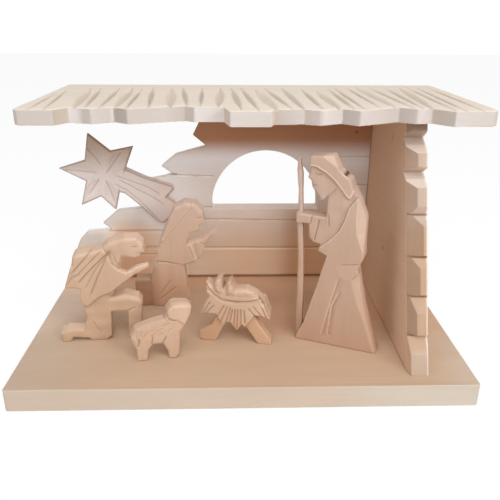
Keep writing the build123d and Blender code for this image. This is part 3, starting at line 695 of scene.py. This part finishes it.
# Kneeling mother
mother_body = [
    (0.0, 0.0), (0.673, 0.0), (0.676, 0.017), (0.636, 0.251), (0.613, 0.415), (0.756, 0.445),
    (0.831, 0.499), (0.873, 0.607), (0.96, 0.703), (1.0, 0.745), (0.828, 0.648), (0.655, 0.6),
    (0.699, 0.72), (0.79, 0.735), (0.825, 0.755), (0.83, 0.8), (0.88, 0.82), (0.855, 0.875),
    (0.863, 0.912), (0.771, 0.991), (0.638, 1.0), (0.518, 0.95), (0.459, 0.864), (0.34, 0.663),
    (0.31, 0.58), (0.288, 0.452), (0.248, 0.402), (0.192, 0.274), (0.015, 0.268), (0.006, 0.25),
]
veil_back = mother_body[18:25]
seat_top = mother_body[27:29]
mother_front = [
    ("ripple", 13, 0.25),
    ("field", [(0.225, -0.05), (0.8, -0.05), (0.75, 0.3), (0.66, 0.42), (0.3, 0.45), (0.2, 0.36)],
     1.0, 1.6, 0.8, 0, 0.5),
    ("field", [(0.1, 1.2), (0.2, 0.45), (0.41, 0.44), (0.61, 0.405), (0.9, 0.43), (1.2, 0.6), (1.2, 1.2)],
     1.4, 1.4, 0.8, 0, 0.5),
    ("field", [(0.72, 1.1), (0.711, 0.947), (0.593, 0.846), (0.364, 0.64), (0.2, 0.6), (0.4, 1.1)],
     2.2, 1.4, 0.8, -0.6, 0.45),
    ("shoulder", veil_back, 4.0, 3.5),
    ("shoulder", seat_top, 3.0, 3.0),
    # Painted shade on the block of the back foot, and a band of painted shade beside it with no cut
    ("patch", [(-0.1, -0.1), (0.222, -0.1), (0.2, 0.4), (-0.1, 0.4)], 0.9),
    ("groove", [(0.24, 0.36), (0.25, 0.0)], 0.0, 7.0, 0.6),
    ("fold", [(0.745, 0.461), (0.66, 0.637)], 0.9, 0.6, 3.5, 0.5),
    ("fold", [(0.785, 0.46), (0.74, 0.65)], 0.9, 0.6, 3.0, 0.5),
    # Painted highlight on the cuff of the sleeve
    ("patch", [(0.675, 0.63), (0.715, 0.63), (0.78, 0.47), (0.75, 0.46)], -0.8),
    ("groove", [(0.76, 0.68), (0.83, 0.62), (0.87, 0.61)], 0.5, 0.7, 0.5),
    *straight_cuts([(0.443, 0.259, 0.328, 0.136), (0.495, 0.187, 0.292, 0.064)], 0.6, 1.4, 0.35),
    ("groove", [(0.785, 0.865), (0.81, 0.86), (0.835, 0.865)], 0.5, 0.7, 0.8),
    ("groove", [(0.8, 0.785), (0.835, 0.79)], 0.5, 0.7, 0.8),
    ("ease", 1.0, 0.6),
]
carving("mother_carving", "mother_figure", "mother_body", (72.4, 98.2),
        upright(-94.894, 19.2, FIGURE_FOOT), [(mother_body, 2.8, 15.6)], mother_front, [("ease", 1.2, 1.0)],
        # Rim: painted shade on the foot block, painted light on the rest, stronger at the lower right
        rim_tone=lambda u, v: np.where(u < 17, 0.9, np.where((u > 47) & (v < 74), -1.6, -0.7)))

# Kneeling shepherd with a short cloak
shepherd_body = [
    (0.012, 0.0), (0.1, 0.0), (0.129, 0.041), (0.303, 0.027), (0.333, 0.0), (0.488, 0.0), (0.547, 0.039),
    (0.561, 0.29), (0.748, 0.291), (0.73, 0.0), (0.872, 0.0), (0.885, 0.19), (0.904, 0.361), (0.868, 0.416),
    (0.714, 0.455), (0.58, 0.43), (0.66, 0.56), (0.68, 0.66), (0.668, 0.692), (0.719, 0.83), (0.86, 0.81),
    (0.905, 0.822), (0.92, 0.85), (0.97, 0.862), (0.95, 0.9), (0.96, 0.94), (0.892, 0.996), (0.76, 1.0),
    (0.587, 0.958), (0.52, 0.912), (0.264, 0.873), (0.221, 0.85), (0.199, 0.77), (0.134, 0.619),
    (0.109, 0.557), (0.269, 0.545), (0.255, 0.45), (0.284, 0.336), (0.307, 0.251), (0.257, 0.11),
    (0.071, 0.115), (0.0, 0.09),
]
shepherd_arm = [
    (0.56, 0.62), (0.6, 0.5), (0.7, 0.564), (0.858, 0.664), (1.0, 0.725), (0.998, 0.757), (0.881, 0.74),
    (0.758, 0.686), (0.7, 0.705), (0.64, 0.74),
]
cloak_back = shepherd_body[25:33]
thigh_top = shepherd_body[13:16]
shepherd_front = [
    ("ripple", 13, 0.25),
    ("field", [(0.577, 0.865), (0.62, 0.76), (0.69, 0.71), (0.76, 0.68), (0.88, 0.735), (1.05, 0.78),
               (1.05, 0.7), (0.86, 0.655), (0.7, 0.555), (0.585, 0.49), (0.451, 0.444), (0.327, 0.358),
               (0.2, 0.4), (0.05, 0.5), (0.1, 0.95), (0.51, 0.95)], 2.0, 1.4, 0.9, -0.3, 0.5),
    ("shoulder", cloak_back, 4.0, 4.0),
    ("shoulder", thigh_top, 5.0, 4.5, 0.0),
    ("fold", [(0.221, 0.713), (0.303, 0.79), (0.42, 0.9)], 1.1, 0.7, 4.0, 0.6),
    ("fold", [(0.27, 0.61), (0.376, 0.71), (0.574, 0.865)], 1.1, 0.7, 5.0, 0.6),
    ("fold", [(0.381, 0.498), (0.463, 0.655), (0.577, 0.846)], 1.0, 0.7, 5.0, 0.6),
    ("fold", [(0.15, 0.6), (0.2, 0.66), (0.25, 0.68)], 0.8, 0.7, 3.0, 0.4),
    ("fold", [(0.33, 0.56), (0.43, 0.7), (0.575, 0.855)], 0.7, 0.7, 3.0, 0.4),
    ("fold", [(0.24, 0.66), (0.33, 0.74), (0.5, 0.88)], 0.7, 0.7, 3.0, 0.4),
    ("groove", [(0.748, 0.293), (0.82, 0.318)], 0.7, 0.8, 0.7),
    ("groove", [(0.359, 0.196), (0.433, 0.092)], 0.5, 0.8, 0.5),
    ("groove", [(0.64, 0.85), (0.66, 0.79), (0.7, 0.74)], 0.5, 0.8, 0.5),
    ("groove", [(0.84, 0.915), (0.865, 0.91), (0.89, 0.915)], 0.5, 0.7, 0.8),
    ("groove", [(0.88, 0.85), (0.92, 0.853)], 0.5, 0.7, 0.8),
    ("ease", 1.0, 0.6),
]
carving("shepherd_carving", "shepherd_figure", "shepherd_body", (72.8, 87.3),
        upright(-144.988, -42.8, FIGURE_FOOT, 5.2),
        [(shepherd_body, 3.1, 17.2), (shepherd_arm, 3.1, 6.6)], shepherd_front, [("ease", 1.2, 1.0)],
        # Rim: painted light, a little stronger below 45 mm
        rim_tone=lambda u, v: np.where(v > 45, -0.6, -0.8))

# Sheep
sheep_body = [
    (0.085, 0.0), (0.24, 0.0), (0.268, 0.198), (0.34, 0.283), (0.514, 0.292), (0.582, 0.145),
    (0.605, 0.0), (0.72, 0.0), (0.773, 0.085), (0.791, 0.386), (0.797, 0.458), (0.886, 0.593),
    (0.975, 0.767), (1.0, 0.92), (0.918, 0.982), (0.718, 1.0), (0.652, 0.969), (0.58, 0.868),
    (0.54, 0.726), (0.22, 0.648), (0.067, 0.588), (0.0, 0.469), (0.004, 0.42), (0.058, 0.265),
    (0.078, 0.22),
]
sheep_face = [
    (0.605, 0.825), (0.629, 0.885), (0.701, 0.935), (0.809, 0.945), (0.94, 0.935), (1.02, 0.9), (1.02, 0.8),
    (0.9, 0.56), (0.83, 0.62), (0.757, 0.68), (0.677, 0.689), (0.62, 0.742),
]
sheep_locks = [
    (0.26, 0.66, 0.36, 0.7), (0.24, 0.59, 0.34, 0.63), (0.39, 0.62, 0.5, 0.66), (0.15, 0.6, 0.1, 0.52),
    (0.18, 0.54, 0.15, 0.46), (0.27, 0.51, 0.36, 0.54), (0.43, 0.52, 0.53, 0.56), (0.2, 0.42, 0.25, 0.48),
    (0.45, 0.43, 0.52, 0.47), (0.56, 0.6, 0.63, 0.64), (0.6, 0.5, 0.67, 0.54), (0.32, 0.44, 0.4, 0.47),
]
leg_cuts = [(0.347, 0.427, 0.33, 0.307), (0.568, 0.415, 0.509, 0.305), (0.134, 0.405, 0.11, 0.275)]
sheep_back = sheep_body[14:22]
sheep_front = [
    ("shoulder", sheep_back, 4.0, 4.5, 0.0),
    ("ripple", 9, 0.12),
    # A band of painted shade along the back and the top of the head, with no cut
    ("groove", [(0.067, 0.56), (0.22, 0.63), (0.54, 0.71), (0.59, 0.85), (0.66, 0.95), (0.73, 0.985),
                (0.92, 0.97)], 0.0, 5.0, 0.35),
    # Painted light on the face
    ("field", sheep_face, 0.9, 1.6, 0.9, -0.15, 0.0),
    ("patch", sheep_face, -0.15),
    ("groove", [(0.587, 0.859), (0.597, 0.751), (0.648, 0.692), (0.72, 0.68)], 0.6, 0.9, 0.8),
    *straight_cuts(leg_cuts, 0.8, 0.8, 0.8),
    ("groove", [(0.08, 0.575), (0.1, 0.42), (0.143, 0.327)], 0.5, 1.0, 0.35),
    *straight_cuts(sheep_locks, 0.4, 0.8, 0.3),
    ("ease", 1.2, 0.8),
]
carving("sheep_carving", "sheep", "sheep_body", (45.9, 47.9),
        upright(-83.347, -72.05, FIGURE_FOOT, 9.5), [(sheep_body, 2.0, 10.9)], sheep_front,
        [("ease", 1.2, 0.8)], spacing=0.4)

# Manger with straw and child
manger_legs = [
    (0.066, 0.0), (0.242, 0.0), (0.341, 0.225), (0.43, 0.37), (0.552, 0.38), (0.66, 0.262), (0.818, 0.0),
    (1.0, 0.0), (1.0, 0.06), (0.829, 0.311), (0.726, 0.515), (0.291, 0.5), (0.201, 0.268), (0.03, 0.147),
    (0.022, 0.028),
]
manger_straw = [
    (0.056, 0.434), (0.145, 0.464), (0.259, 0.467), (0.344, 0.307), (0.446, 0.355), (0.546, 0.226),
    (0.609, 0.33), (0.651, 0.282), (0.777, 0.478), (0.87, 0.473), (0.979, 0.438), (0.985, 0.488),
    (0.925, 0.645), (0.9, 0.72), (0.817, 0.69), (0.642, 0.65), (0.432, 0.66), (0.263, 0.715), (0.135, 0.82),
    (0.18, 0.735), (0.107, 0.597),
]
manger_child = [
    (0.131, 0.93), (0.15, 0.8), (0.2, 0.7), (0.3, 0.64), (0.44, 0.6), (0.64, 0.59), (0.8, 0.63),
    (0.93, 0.65), (0.795, 0.785), (0.661, 0.854), (0.514, 0.835), (0.48, 0.903), (0.454, 0.978),
    (0.4, 0.936), (0.352, 0.847), (0.346, 0.909), (0.334, 1.0), (0.273, 0.981), (0.204, 0.883),
    (0.144, 0.925),
]
straw_cuts = [
    (0.122, 0.679, 0.038, 0.547), (0.183, 0.642, 0.071, 0.434), (0.235, 0.594, 0.116, 0.448),
    (0.367, 0.595, 0.276, 0.419), (0.411, 0.577, 0.32, 0.338), (0.455, 0.57, 0.382, 0.301),
    (0.481, 0.541, 0.448, 0.37), (0.516, 0.544, 0.498, 0.311), (0.552, 0.547, 0.537, 0.261),
    (0.595, 0.551, 0.587, 0.318), (0.636, 0.543, 0.648, 0.345), (0.692, 0.579, 0.783, 0.451),
    (0.761, 0.605, 0.867, 0.464), (0.83, 0.683, 0.937, 0.443), (0.876, 0.707, 0.975, 0.457),
]
child_top = [(0.88, 0.66), *manger_child[8:], manger_child[0]]
manger_front = [
    ("field", [(0.238, 0.96), (0.232, 0.9), (0.256, 0.81), (0.308, 0.765), (0.353, 0.83), (0.371, 0.95),
               (0.35, 1.1), (0.26, 1.1)], 1.4, 1.8, 1.4, -0.2, 0.8),
    ("field", [(0.41, 0.76), (0.4, 1.0), (0.5, 1.05), (0.52, 0.93), (0.49, 0.78)], 0.9, 1.4, 0.9, 0, 0.6),
    ("shoulder", child_top, 3.5, 4.0, -0.1),
    ("groove", [(0.135, 0.9), (0.166, 0.84), (0.238, 0.75), (0.342, 0.68), (0.517, 0.655), (0.691, 0.67),
                (0.847, 0.715), (0.91, 0.74)], 1.0, 0.9, 0.9),
    ("groove", [(0.656, 0.77), (0.785, 0.78)], 0.5, 0.7, 0.6),
    ("groove", [(0.395, 0.735), (0.56, 0.745), (0.8, 0.75)], 0.4, 0.7, 0.4),
    ("groove", [(0.43, 0.87), (0.455, 0.93)], 0.4, 0.6, 0.5),
    ("groove", [(0.27, 0.9), (0.29, 0.895), (0.305, 0.9)], 0.4, 0.6, 0.5),
    # Painted shade on the legs under the straw
    ("patch", [(-0.1, -0.1), (1.1, -0.1), (1.1, 0.2), (0.78, 0.46), (0.65, 0.29), (0.43, 0.37),
               (0.36, 0.32), (0.29, 0.45), (0.2, 0.37), (-0.1, 0.2)], 0.12),
    *straight_cuts(straw_cuts, 1.0, 0.9, 0.55),
    ("ease", 0.8, 0.5),
]
carving("manger_carving", "manger", "manger_body", (59.6, 56.0),
        upright(-36.676, -39.971, FIGURE_FOOT, -9.2),
        [(manger_straw, 0.0, 14.5), (manger_legs, 3.0, 12.3), (manger_child, 2.0, 13.8)], manger_front,
        [("ease", 1.0, 0.6)], spacing=0.4, easing=0.4)

# Comet star with its tail
star = [
    (0.553, 0.617), (0.631, 0.862), (0.439, 0.812), (0.265, 0.997), (0.223, 0.716), (0.002, 0.629),
    (0.217, 0.489), (0.159, 0.222), (0.333, 0.319), (0.449, 0.168), (0.49, 0.366),
]
tail = [
    (0.45, 0.5), (0.49, 0.366), (0.53, 0.355), (0.59, 0.29), (0.655, 0.212), (0.783, 0.043), (0.845, 0.0),
    (0.95, 0.11), (0.962, 0.221), (0.943, 0.257), (0.883, 0.303), (0.954, 0.392), (0.935, 0.427),
    (0.723, 0.516), (0.632, 0.568), (0.553, 0.617),
]
ray_hollows = [
    (0.03, 0.625, 0.33, 0.58), (0.258, 0.86, 0.345, 0.66), (0.54, 0.8, 0.42, 0.62), (0.2, 0.3, 0.345, 0.52),
    (0.45, 0.22, 0.39, 0.5),
]
ray_lines = [
    (0.05, 0.612, 0.3, 0.582), (0.258, 0.83, 0.35, 0.67), (0.525, 0.79, 0.4, 0.585),
    (0.242, 0.358, 0.326, 0.499), (0.445, 0.259, 0.386, 0.49),
]
tail_lines = [
    [(0.48, 0.545), (0.732, 0.419), (0.823, 0.339)], [(0.5, 0.5), (0.754, 0.312), (0.859, 0.221)],
    [(0.464, 0.455), (0.561, 0.384), (0.656, 0.267), (0.804, 0.048)],
]
star_front = [
    *[("gouge", (u0, v0), (u1, v1), 11.0, 1.6, 0.0) for u0, v0, u1, v1 in ray_hollows],
    *straight_cuts(ray_lines, 0.5, 0.9, 0.7),
    ("facet", [(0.45, 0.6), (0.55, 0.62), (1.0, 0.45), (1.0, -0.1), (0.8, -0.1), (0.48, 0.36)],
     [(0.5, 0.37), (0.56, 0.61)], 3.0, 55.0),
    *[("groove", line, 0.8, 0.8, 0.7) for line in tail_lines],
    ("ease", 1.2, 0.7),
    # Painted shade along the outline
    ("rim", 1.7, 1.2),
]
carving("star_carving", "comet_star", "stable", (109.0, 86.5),
        upright(-166.086, 74.5, 77.508), [(star, 0.4, 5.0), (tail, 0.5, 11.0)], star_front,
        # Rim: painted shade around the star, a little painted light around the tail
        [("ease", 1.2, 0.8)], spacing=0.45, easing=0.4, rim_tone=lambda u, v: np.where(u > 58, -0.1, 0.6))

# Back wall: plank ends pared away behind, plank lines, arched window and sunk screws
plank_ends = [
    (0.023, 0.0), (0.013, 0.057), (0.036, 0.132), (0.033, 0.187), (0.046, 0.236), (0.072, 0.282),
    (0.147, 0.293), (0.121, 0.33), (0.172, 0.405), (0.232, 0.417), (0.288, 0.425), (0.258, 0.494),
    (0.278, 0.583), (0.324, 0.598), (0.346, 0.612), (0.314, 0.652), (0.36, 0.718), (0.451, 0.763),
    (0.413, 0.819), (0.429, 0.875), (0.458, 1.0),
]
arch_angles = np.linspace(0, math.pi, 60)
window_middle, window_half, window_sill, arch_foot, arch_rise = 0.6323, 0.1667, 0.4075, 0.431, 0.3055
window = [
    (window_middle - window_half, window_sill), (window_middle + window_half, window_sill),
    *zip(window_middle + window_half * np.cos(arch_angles), arch_foot + arch_rise * np.sin(arch_angles)),
]
upper_lines = [(0.34, 0.603, 0.47, 0.594), (0.833, 0.7, 1.0, 0.7), (0.815, 0.544, 1.0, 0.544)]
lower_lines = [(0.2, 0.184, 0.36, 0.184), (0.2, 0.141, 0.36, 0.141)]
wall_front = [
    ("field", [(0.38, -0.1), (1.1, -0.1), (1.1, 0.176), (0.38, 0.18)], 0.7, 1.6, 0.7),
    *straight_cuts(upper_lines, 1.2, 0.9, 1.0),
    *straight_cuts(lower_lines, 0.8, 0.8, 1.0),
    ("groove", [(0.343, 0.609), (0.358, 0.606)], 0.6, 1.3, 2.0),
    ("groove", [(0.43, 0.418), (0.475, 0.418)], 1.0, 0.9),
    ("groove", [(0.44, 0.349), (0.73, 0.34), (1.0, 0.342)], 1.2, 1.0),
    ("groove", [(0.14, 0.282), (0.31, 0.282)], 1.2, 1.0),
    ("groove", [(0.38, 0.18), (1.0, 0.176)], 0.8, 1.2),
    # Painted shade along the foot, where the wall meets the base
    ("groove", [(0.0, 0.003), (1.0, 0.003)], 1.4, 1.6, 1.7),
    ("knot", (0.9065, 0.8344), 1.2, 1.2, 1.6),
    ("ease", 0.9, 0.5),
    ("rim", 1.2, 0.7),
]
wall_back = [("groove", plank_ends, 13.0, 9.0), *[("sink", (0.9755, up), 4.5) for up in (0.16, 0.5, 0.84)]]
carving("wall_carving", "back_wall", "stable", (WALL_LENGTH, ROOM_HEIGHT),
        upright(BASE_LEFT, WALL_FRONT, BASE_TOP),
        [(plank_ends + [(1.0, 1.0), (1.0, 0.0)], 0.0, WALL_THICKNESS)], wall_front, wall_back,
        spacing=0.9, easing=0.8, holes=[window])

# Side wall: log ends with facets, from the base up as height of the notch above, top facet, lower facet,
# depth of the notch, inner chamfer and outer chamfer
log_ends = [
    (0.15, 0.07, 0.0, 5.2, 2.0, 0.5), (0.305, 0.063, 0.006, 3.9, 6.5, 2.2),
    (0.46, 0.04, 0.01, 3.9, 9.0, 2.2), (0.626, 0.04, 0.01, 3.9, 11.5, 2.2),
    (0.782, 0.047, 0.035, 13.0, 7.0, 1.2), (0.92, 0.05, 0.035, 13.0, 7.5, 0.6),
    (1.0, 0.0, 0.04, 0.0, 3.0, 0.6),
]
inner_column, outer_column = 4, 5
log_front, log_lean = -91.5, 69.0
inner_reach, outer_reach, facet_reach = 5.5, 2.5, 7
sawn_notches = 4
# Pin knots as place along and up, width, height and tone
side_knots = [((14, 172), 0.9, 3.6, 1.0), ((41.1, 112.5), 0.9, 0.9, 1.3), ((11, 77.9), 1.1, 1.43, 2.2)]
side_edge = [(log_front, 0.0)]
for (notch, facet, _, depth, _, _), (_, _, lower, _, _, _) in zip(log_ends[:-1], log_ends[1:]):
    side_edge.append((log_front + (notch - facet) * log_lean, notch - facet))
    side_edge.append((log_front + notch * log_lean + depth, notch))
    side_edge.append((log_front + (notch + lower) * log_lean, notch + lower))
side_edge += [(log_front + log_lean, 1.0), (WALL_FRONT, 1.0), (WALL_FRONT, 0.0)]


def behind_edge(y, z):
    """Height as a share of the room, and distance behind the leaning front edge."""
    share = (z - BASE_TOP) / ROOM_HEIGHT
    return share, y - log_front - share * log_lean


def log_cut(y, z, column, reach):
    """How far the log ends are pared off beside the front edge, by a width of their own over a reach."""
    share, behind = behind_edge(y, z)
    tops = np.array([row[0] for row in log_ends])
    widths = np.array([row[column] for row in log_ends])
    width = widths[np.clip(np.searchsorted(tops, share), 0, len(tops) - 1)]
    return width * np.clip(1 - behind / reach, 0, 1)


def log_tone(y, z, top, plain):
    """Painted tone of the log ends: shade in the saw cuts of the notches, one tone for the top facets, one
    for the rest.
    """
    share, behind = behind_edge(y, z)
    heights = [row[0] for row in log_ends[:sawn_notches]]
    cuts = sum(np.exp(-((share - height) * ROOM_HEIGHT / LINE_REACH) ** 2) for height in heights)
    tops = sum((share > row[0] - row[1]) & (share < row[0]) for row in log_ends[:-1])
    return np.where(behind < facet_reach, np.where(cuts > 0.2, 1.4 * cuts, np.where(tops, top, plain)), 0)


def inner_face(y, z):
    """Depth and tone of the inner face: painted shade on the chamfers of the log ends and along its joints
    with the back wall and the base, and pin knots.
    """
    cut = log_cut(y, z, inner_column, inner_reach)
    tone = np.where(cut > 0, log_tone(y, z, 0.5, 0.5), 0)
    tone = np.maximum(tone, 1.5 * np.exp(-((WALL_FRONT - y) / 3.0) ** 2))
    tone = np.maximum(tone, np.exp(-((z - BASE_TOP) / 1.2) ** 2))
    for knot in side_knots:
        tone = np.maximum(tone, pin_knot(y, z, *knot))
    return SIDE_THICKNESS - cut, tone


def outer_face(y, z):
    """Depth and tone of the outer face: narrow chamfers along the log ends, with painted light on them."""
    cut = log_cut(y, z, outer_column, outer_reach)
    return cut, np.where(cut > 0, -1.2, 0)


side_piece = carved_board(
    "side_carving", [np.array([(y, BASE_TOP + share * ROOM_HEIGHT) for y, share in side_edge])],
    outer_face, inner_face, lambda y, z, depth: np.column_stack([SIDE_OUTER - depth, y, z]),
    # Rim: painted light on the log ends, paler on the top facets, with painted shade in the saw cuts
    spacing=0.72, easing=0.4, rim_tone=lambda y, z: log_tone(y, z, -0.6, -0.3))
stand_in(side_piece, "side_wall", "stable")

# Roof: hacked front edge, and gouges as share along the width at the front and at the back, reach of both
# ends from the back edge, and width
roof_edge = [
    (0.0, 0.93), (0.01, 0.955), (0.083, 0.955), (0.106, 0.885), (0.155, 0.92), (0.198, 0.87),
    (0.231, 0.925), (0.345, 0.835), (0.367, 0.868), (0.43, 0.868), (0.443, 0.99), (0.527, 0.99),
    (0.535, 0.935), (0.598, 0.925), (0.63, 0.96), (0.678, 0.908), (0.71, 0.968), (0.803, 0.865),
    (0.837, 0.915), (0.87, 0.9), (0.905, 0.985), (0.99, 0.975), (1.0, 0.95), (1.0, 0.0), (0.0, 0.0),
]
gouges = [
    (0.032, 0.02, 0.96, 0.44, 3), (0.065, 0.03, 0.96, 0.3, 3), (0.123, 0.08, 0.94, 0.19, 8),
    (0.142, 0.106, 0.89, 0.19, 5), (0.172, 0.153, 0.92, 0.15, 5), (0.205, 0.186, 0.94, 0.15, 8),
    (0.229, 0.214, 0.94, 0.22, 4), (0.273, 0.239, 0.89, 0.15, 5), (0.319, 0.289, 0.91, 0.18, 9),
    (0.352, 0.316, 0.84, 0.14, 5), (0.38, 0.369, 0.84, 0.18, 4), (0.418, 0.417, 0.89, 0.14, 8),
    (0.467, 0.445, 0.95, 0.18, 6), (0.503, 0.47, 0.98, 0.14, 5), (0.542, 0.507, 1.0, 0.21, 9),
    (0.572, 0.533, 0.93, 0.17, 5), (0.598, 0.578, 1.0, 0.13, 6), (0.636, 0.628, 0.93, 0.2, 5),
    (0.671, 0.663, 0.97, 0.27, 8), (0.701, 0.7, 0.93, 0.2, 5), (0.723, 0.719, 0.93, 0.16, 4),
    (0.76, 0.753, 0.88, 0.12, 4), (0.794, 0.779, 0.9, 0.12, 8), (0.83, 0.815, 0.92, 0.12, 5),
    (0.848, 0.857, 0.92, 0.12, 5), (0.864, 0.896, 0.99, 0.12, 8), (0.906, 0.918, 1.0, 0.11, 4),
    (0.927, 0.944, 1.0, 0.11, 4), (0.963, 0.975, 1.0, 0.11, 4),
]
roof_top = [
    *[("gouge", (back, far), (front, near), width, 0.36 * width, 1.1 - 0.09 * width)
      for front, back, near, far, width in gouges],
    *straight_cuts([(back, far, front, near) for front, back, near, far, _ in gouges], 0.3, 1.1, 0.6),
    ("ease", 0.8, 0.5),
]
# Painted light and shade on the facets of the hacked front edge, along the width
hewn_light_and_shade = np.array([
    (0.0, 0.2), (0.083, 0.1), (0.085, 0.55), (0.105, 0.5), (0.107, -0.9), (0.125, -0.6), (0.14, 0.4),
    (0.155, 0.3), (0.157, -0.2), (0.19, 0.0), (0.198, -0.7), (0.2, 0.6), (0.23, 0.5), (0.232, 0.1),
    (0.3, 0.0), (0.345, 0.3), (0.367, 0.3), (0.369, -0.5), (0.43, -0.3), (0.431, 0.6), (0.443, 0.5),
    (0.445, -0.2), (0.527, 0.0), (0.53, 0.5), (0.598, 0.1), (0.6, 0.4), (0.63, 0.2), (0.64, -0.4),
    (0.678, -0.1), (0.68, 0.5), (0.71, 0.3), (0.715, -0.2), (0.803, 0.2), (0.805, 0.5), (0.837, 0.2),
    (0.84, -0.3), (0.87, 0.1), (0.872, 0.5), (0.905, 0.4), (0.907, -0.1), (1.0, 0.1),
])
hewn_from = -120
carving("roof_carving", "roof_board", "stable", (ROOF_LENGTH, -ROOF_DEPTH),
        lambda u, v, n: np.column_stack([u + ROOF_LEFT, WALL_BACK + np.minimum(v, 0), ROOF_TOP - n]),
        [(roof_edge, 0.0, ROOF_THICKNESS)], roof_top, [("ease", 0.8, 0.5)], spacing=(0.8, 1.8), easing=0.5,
        rim_tone=lambda u, v: np.where(v < hewn_from, np.interp(u / ROOF_LENGTH, *hewn_light_and_shade.T), 0))


# Camera, floor and light

def add_camera():
    """The photo's view: a place, a turn, a look down and a slight roll."""
    turn, down, roll = (math.radians(angle) for angle in (CAMERA_TURN, CAMERA_DOWN, CAMERA_ROLL))
    right = Vector((math.cos(turn), math.sin(turn), 0))
    ahead = Vector((-math.sin(turn) * math.cos(down), math.cos(turn) * math.cos(down), -math.sin(down)))
    up = right.cross(ahead)
    rolled_right = right * math.cos(roll) + up * math.sin(roll)
    rolled_up = up * math.cos(roll) - right * math.sin(roll)
    data = bpy.data.cameras.new("camera")
    data.sensor_width = CAMERA_SENSOR
    data.lens = CAMERA_LENS
    pose = Matrix((rolled_right, rolled_up, -ahead)).transposed().to_4x4()
    pose.translation = Vector(CAMERA_PLACE) * MM
    camera = placed("camera", data)
    camera.matrix_world = pose
    scene.camera = camera


def add_light(name, place, aim, size, power, colour=(1, 1, 1)):
    """A square soft light that looks at a point."""
    data = bpy.data.lights.new(name, "AREA")
    data.size = size
    data.energy = power
    data.color = colour
    lamp = placed(name, data)
    lamp.location = place
    lamp.rotation_euler = (Vector(aim) - Vector(place)).to_track_quat("-Z", "Y").to_euler()


add_camera()
scene.view_settings.view_transform = "Standard"
world = bpy.data.worlds.new("studio")
world.use_nodes = True
sky_tree = world.node_tree
rays = node(sky_tree, "ShaderNodeLightPath")
strength = node(sky_tree, "ShaderNodeMapRange", {
    "Value": rays.outputs["Is Camera Ray"], "To Min": SKY_LIGHT, "To Max": SKY_SEEN})
feed(sky_tree, sky_tree.nodes["Background"], {
    "Color": (1, 1, 1, 1), "Strength": strength.outputs["Result"]})
scene.world = world
add_light("key", (0.1, -1.45, 0.85), (0, 0, 0.1), 0.7, 7)
add_light("left", (-0.9, -0.7, 1.0), (0, 0.05, 0.1), 0.7, 3, (0.85, 0.98, 1.15))
add_light("right", (0.95, -1.1, 0.7), (0, 0, 0.1), 0.5, 8)
add_light("top", (0.1, -0.9, 1.5), (0, 0, 0.1), 0.8, 8)

floor_points = FLOOR_REACH * np.array([(-1, -1, 0), (1, -1, 0), (1, 1, 0), (-1, 1, 0)])
floor = surface("floor", floor_points, np.array([[0, 1, 2, 3]]))
floor_paper = new_material("floor paper", {"Base Color": (0.8, 0.8, 0.8, 1), "Roughness": 0.9})
floor_tree = floor_paper.node_tree
glow = node(floor_tree, "ShaderNodeEmission", {"Strength": FLOOR_GLOW})
seen = node(floor_tree, "ShaderNodeLightPath")
shown = node(floor_tree, "ShaderNodeMath", operation="MULTIPLY", inputs={
    0: seen.outputs["Is Camera Ray"], 1: FLOOR_SEEN})
both = node(floor_tree, "ShaderNodeMixShader", {
    "Fac": shown.outputs[0], 1: floor_tree.nodes["Principled BSDF"].outputs[0], 2: glow.outputs[0]})
feed(floor_tree, floor_tree.nodes["Material Output"], {"Surface": both.outputs[0]})
dress(floor, floor_paper)
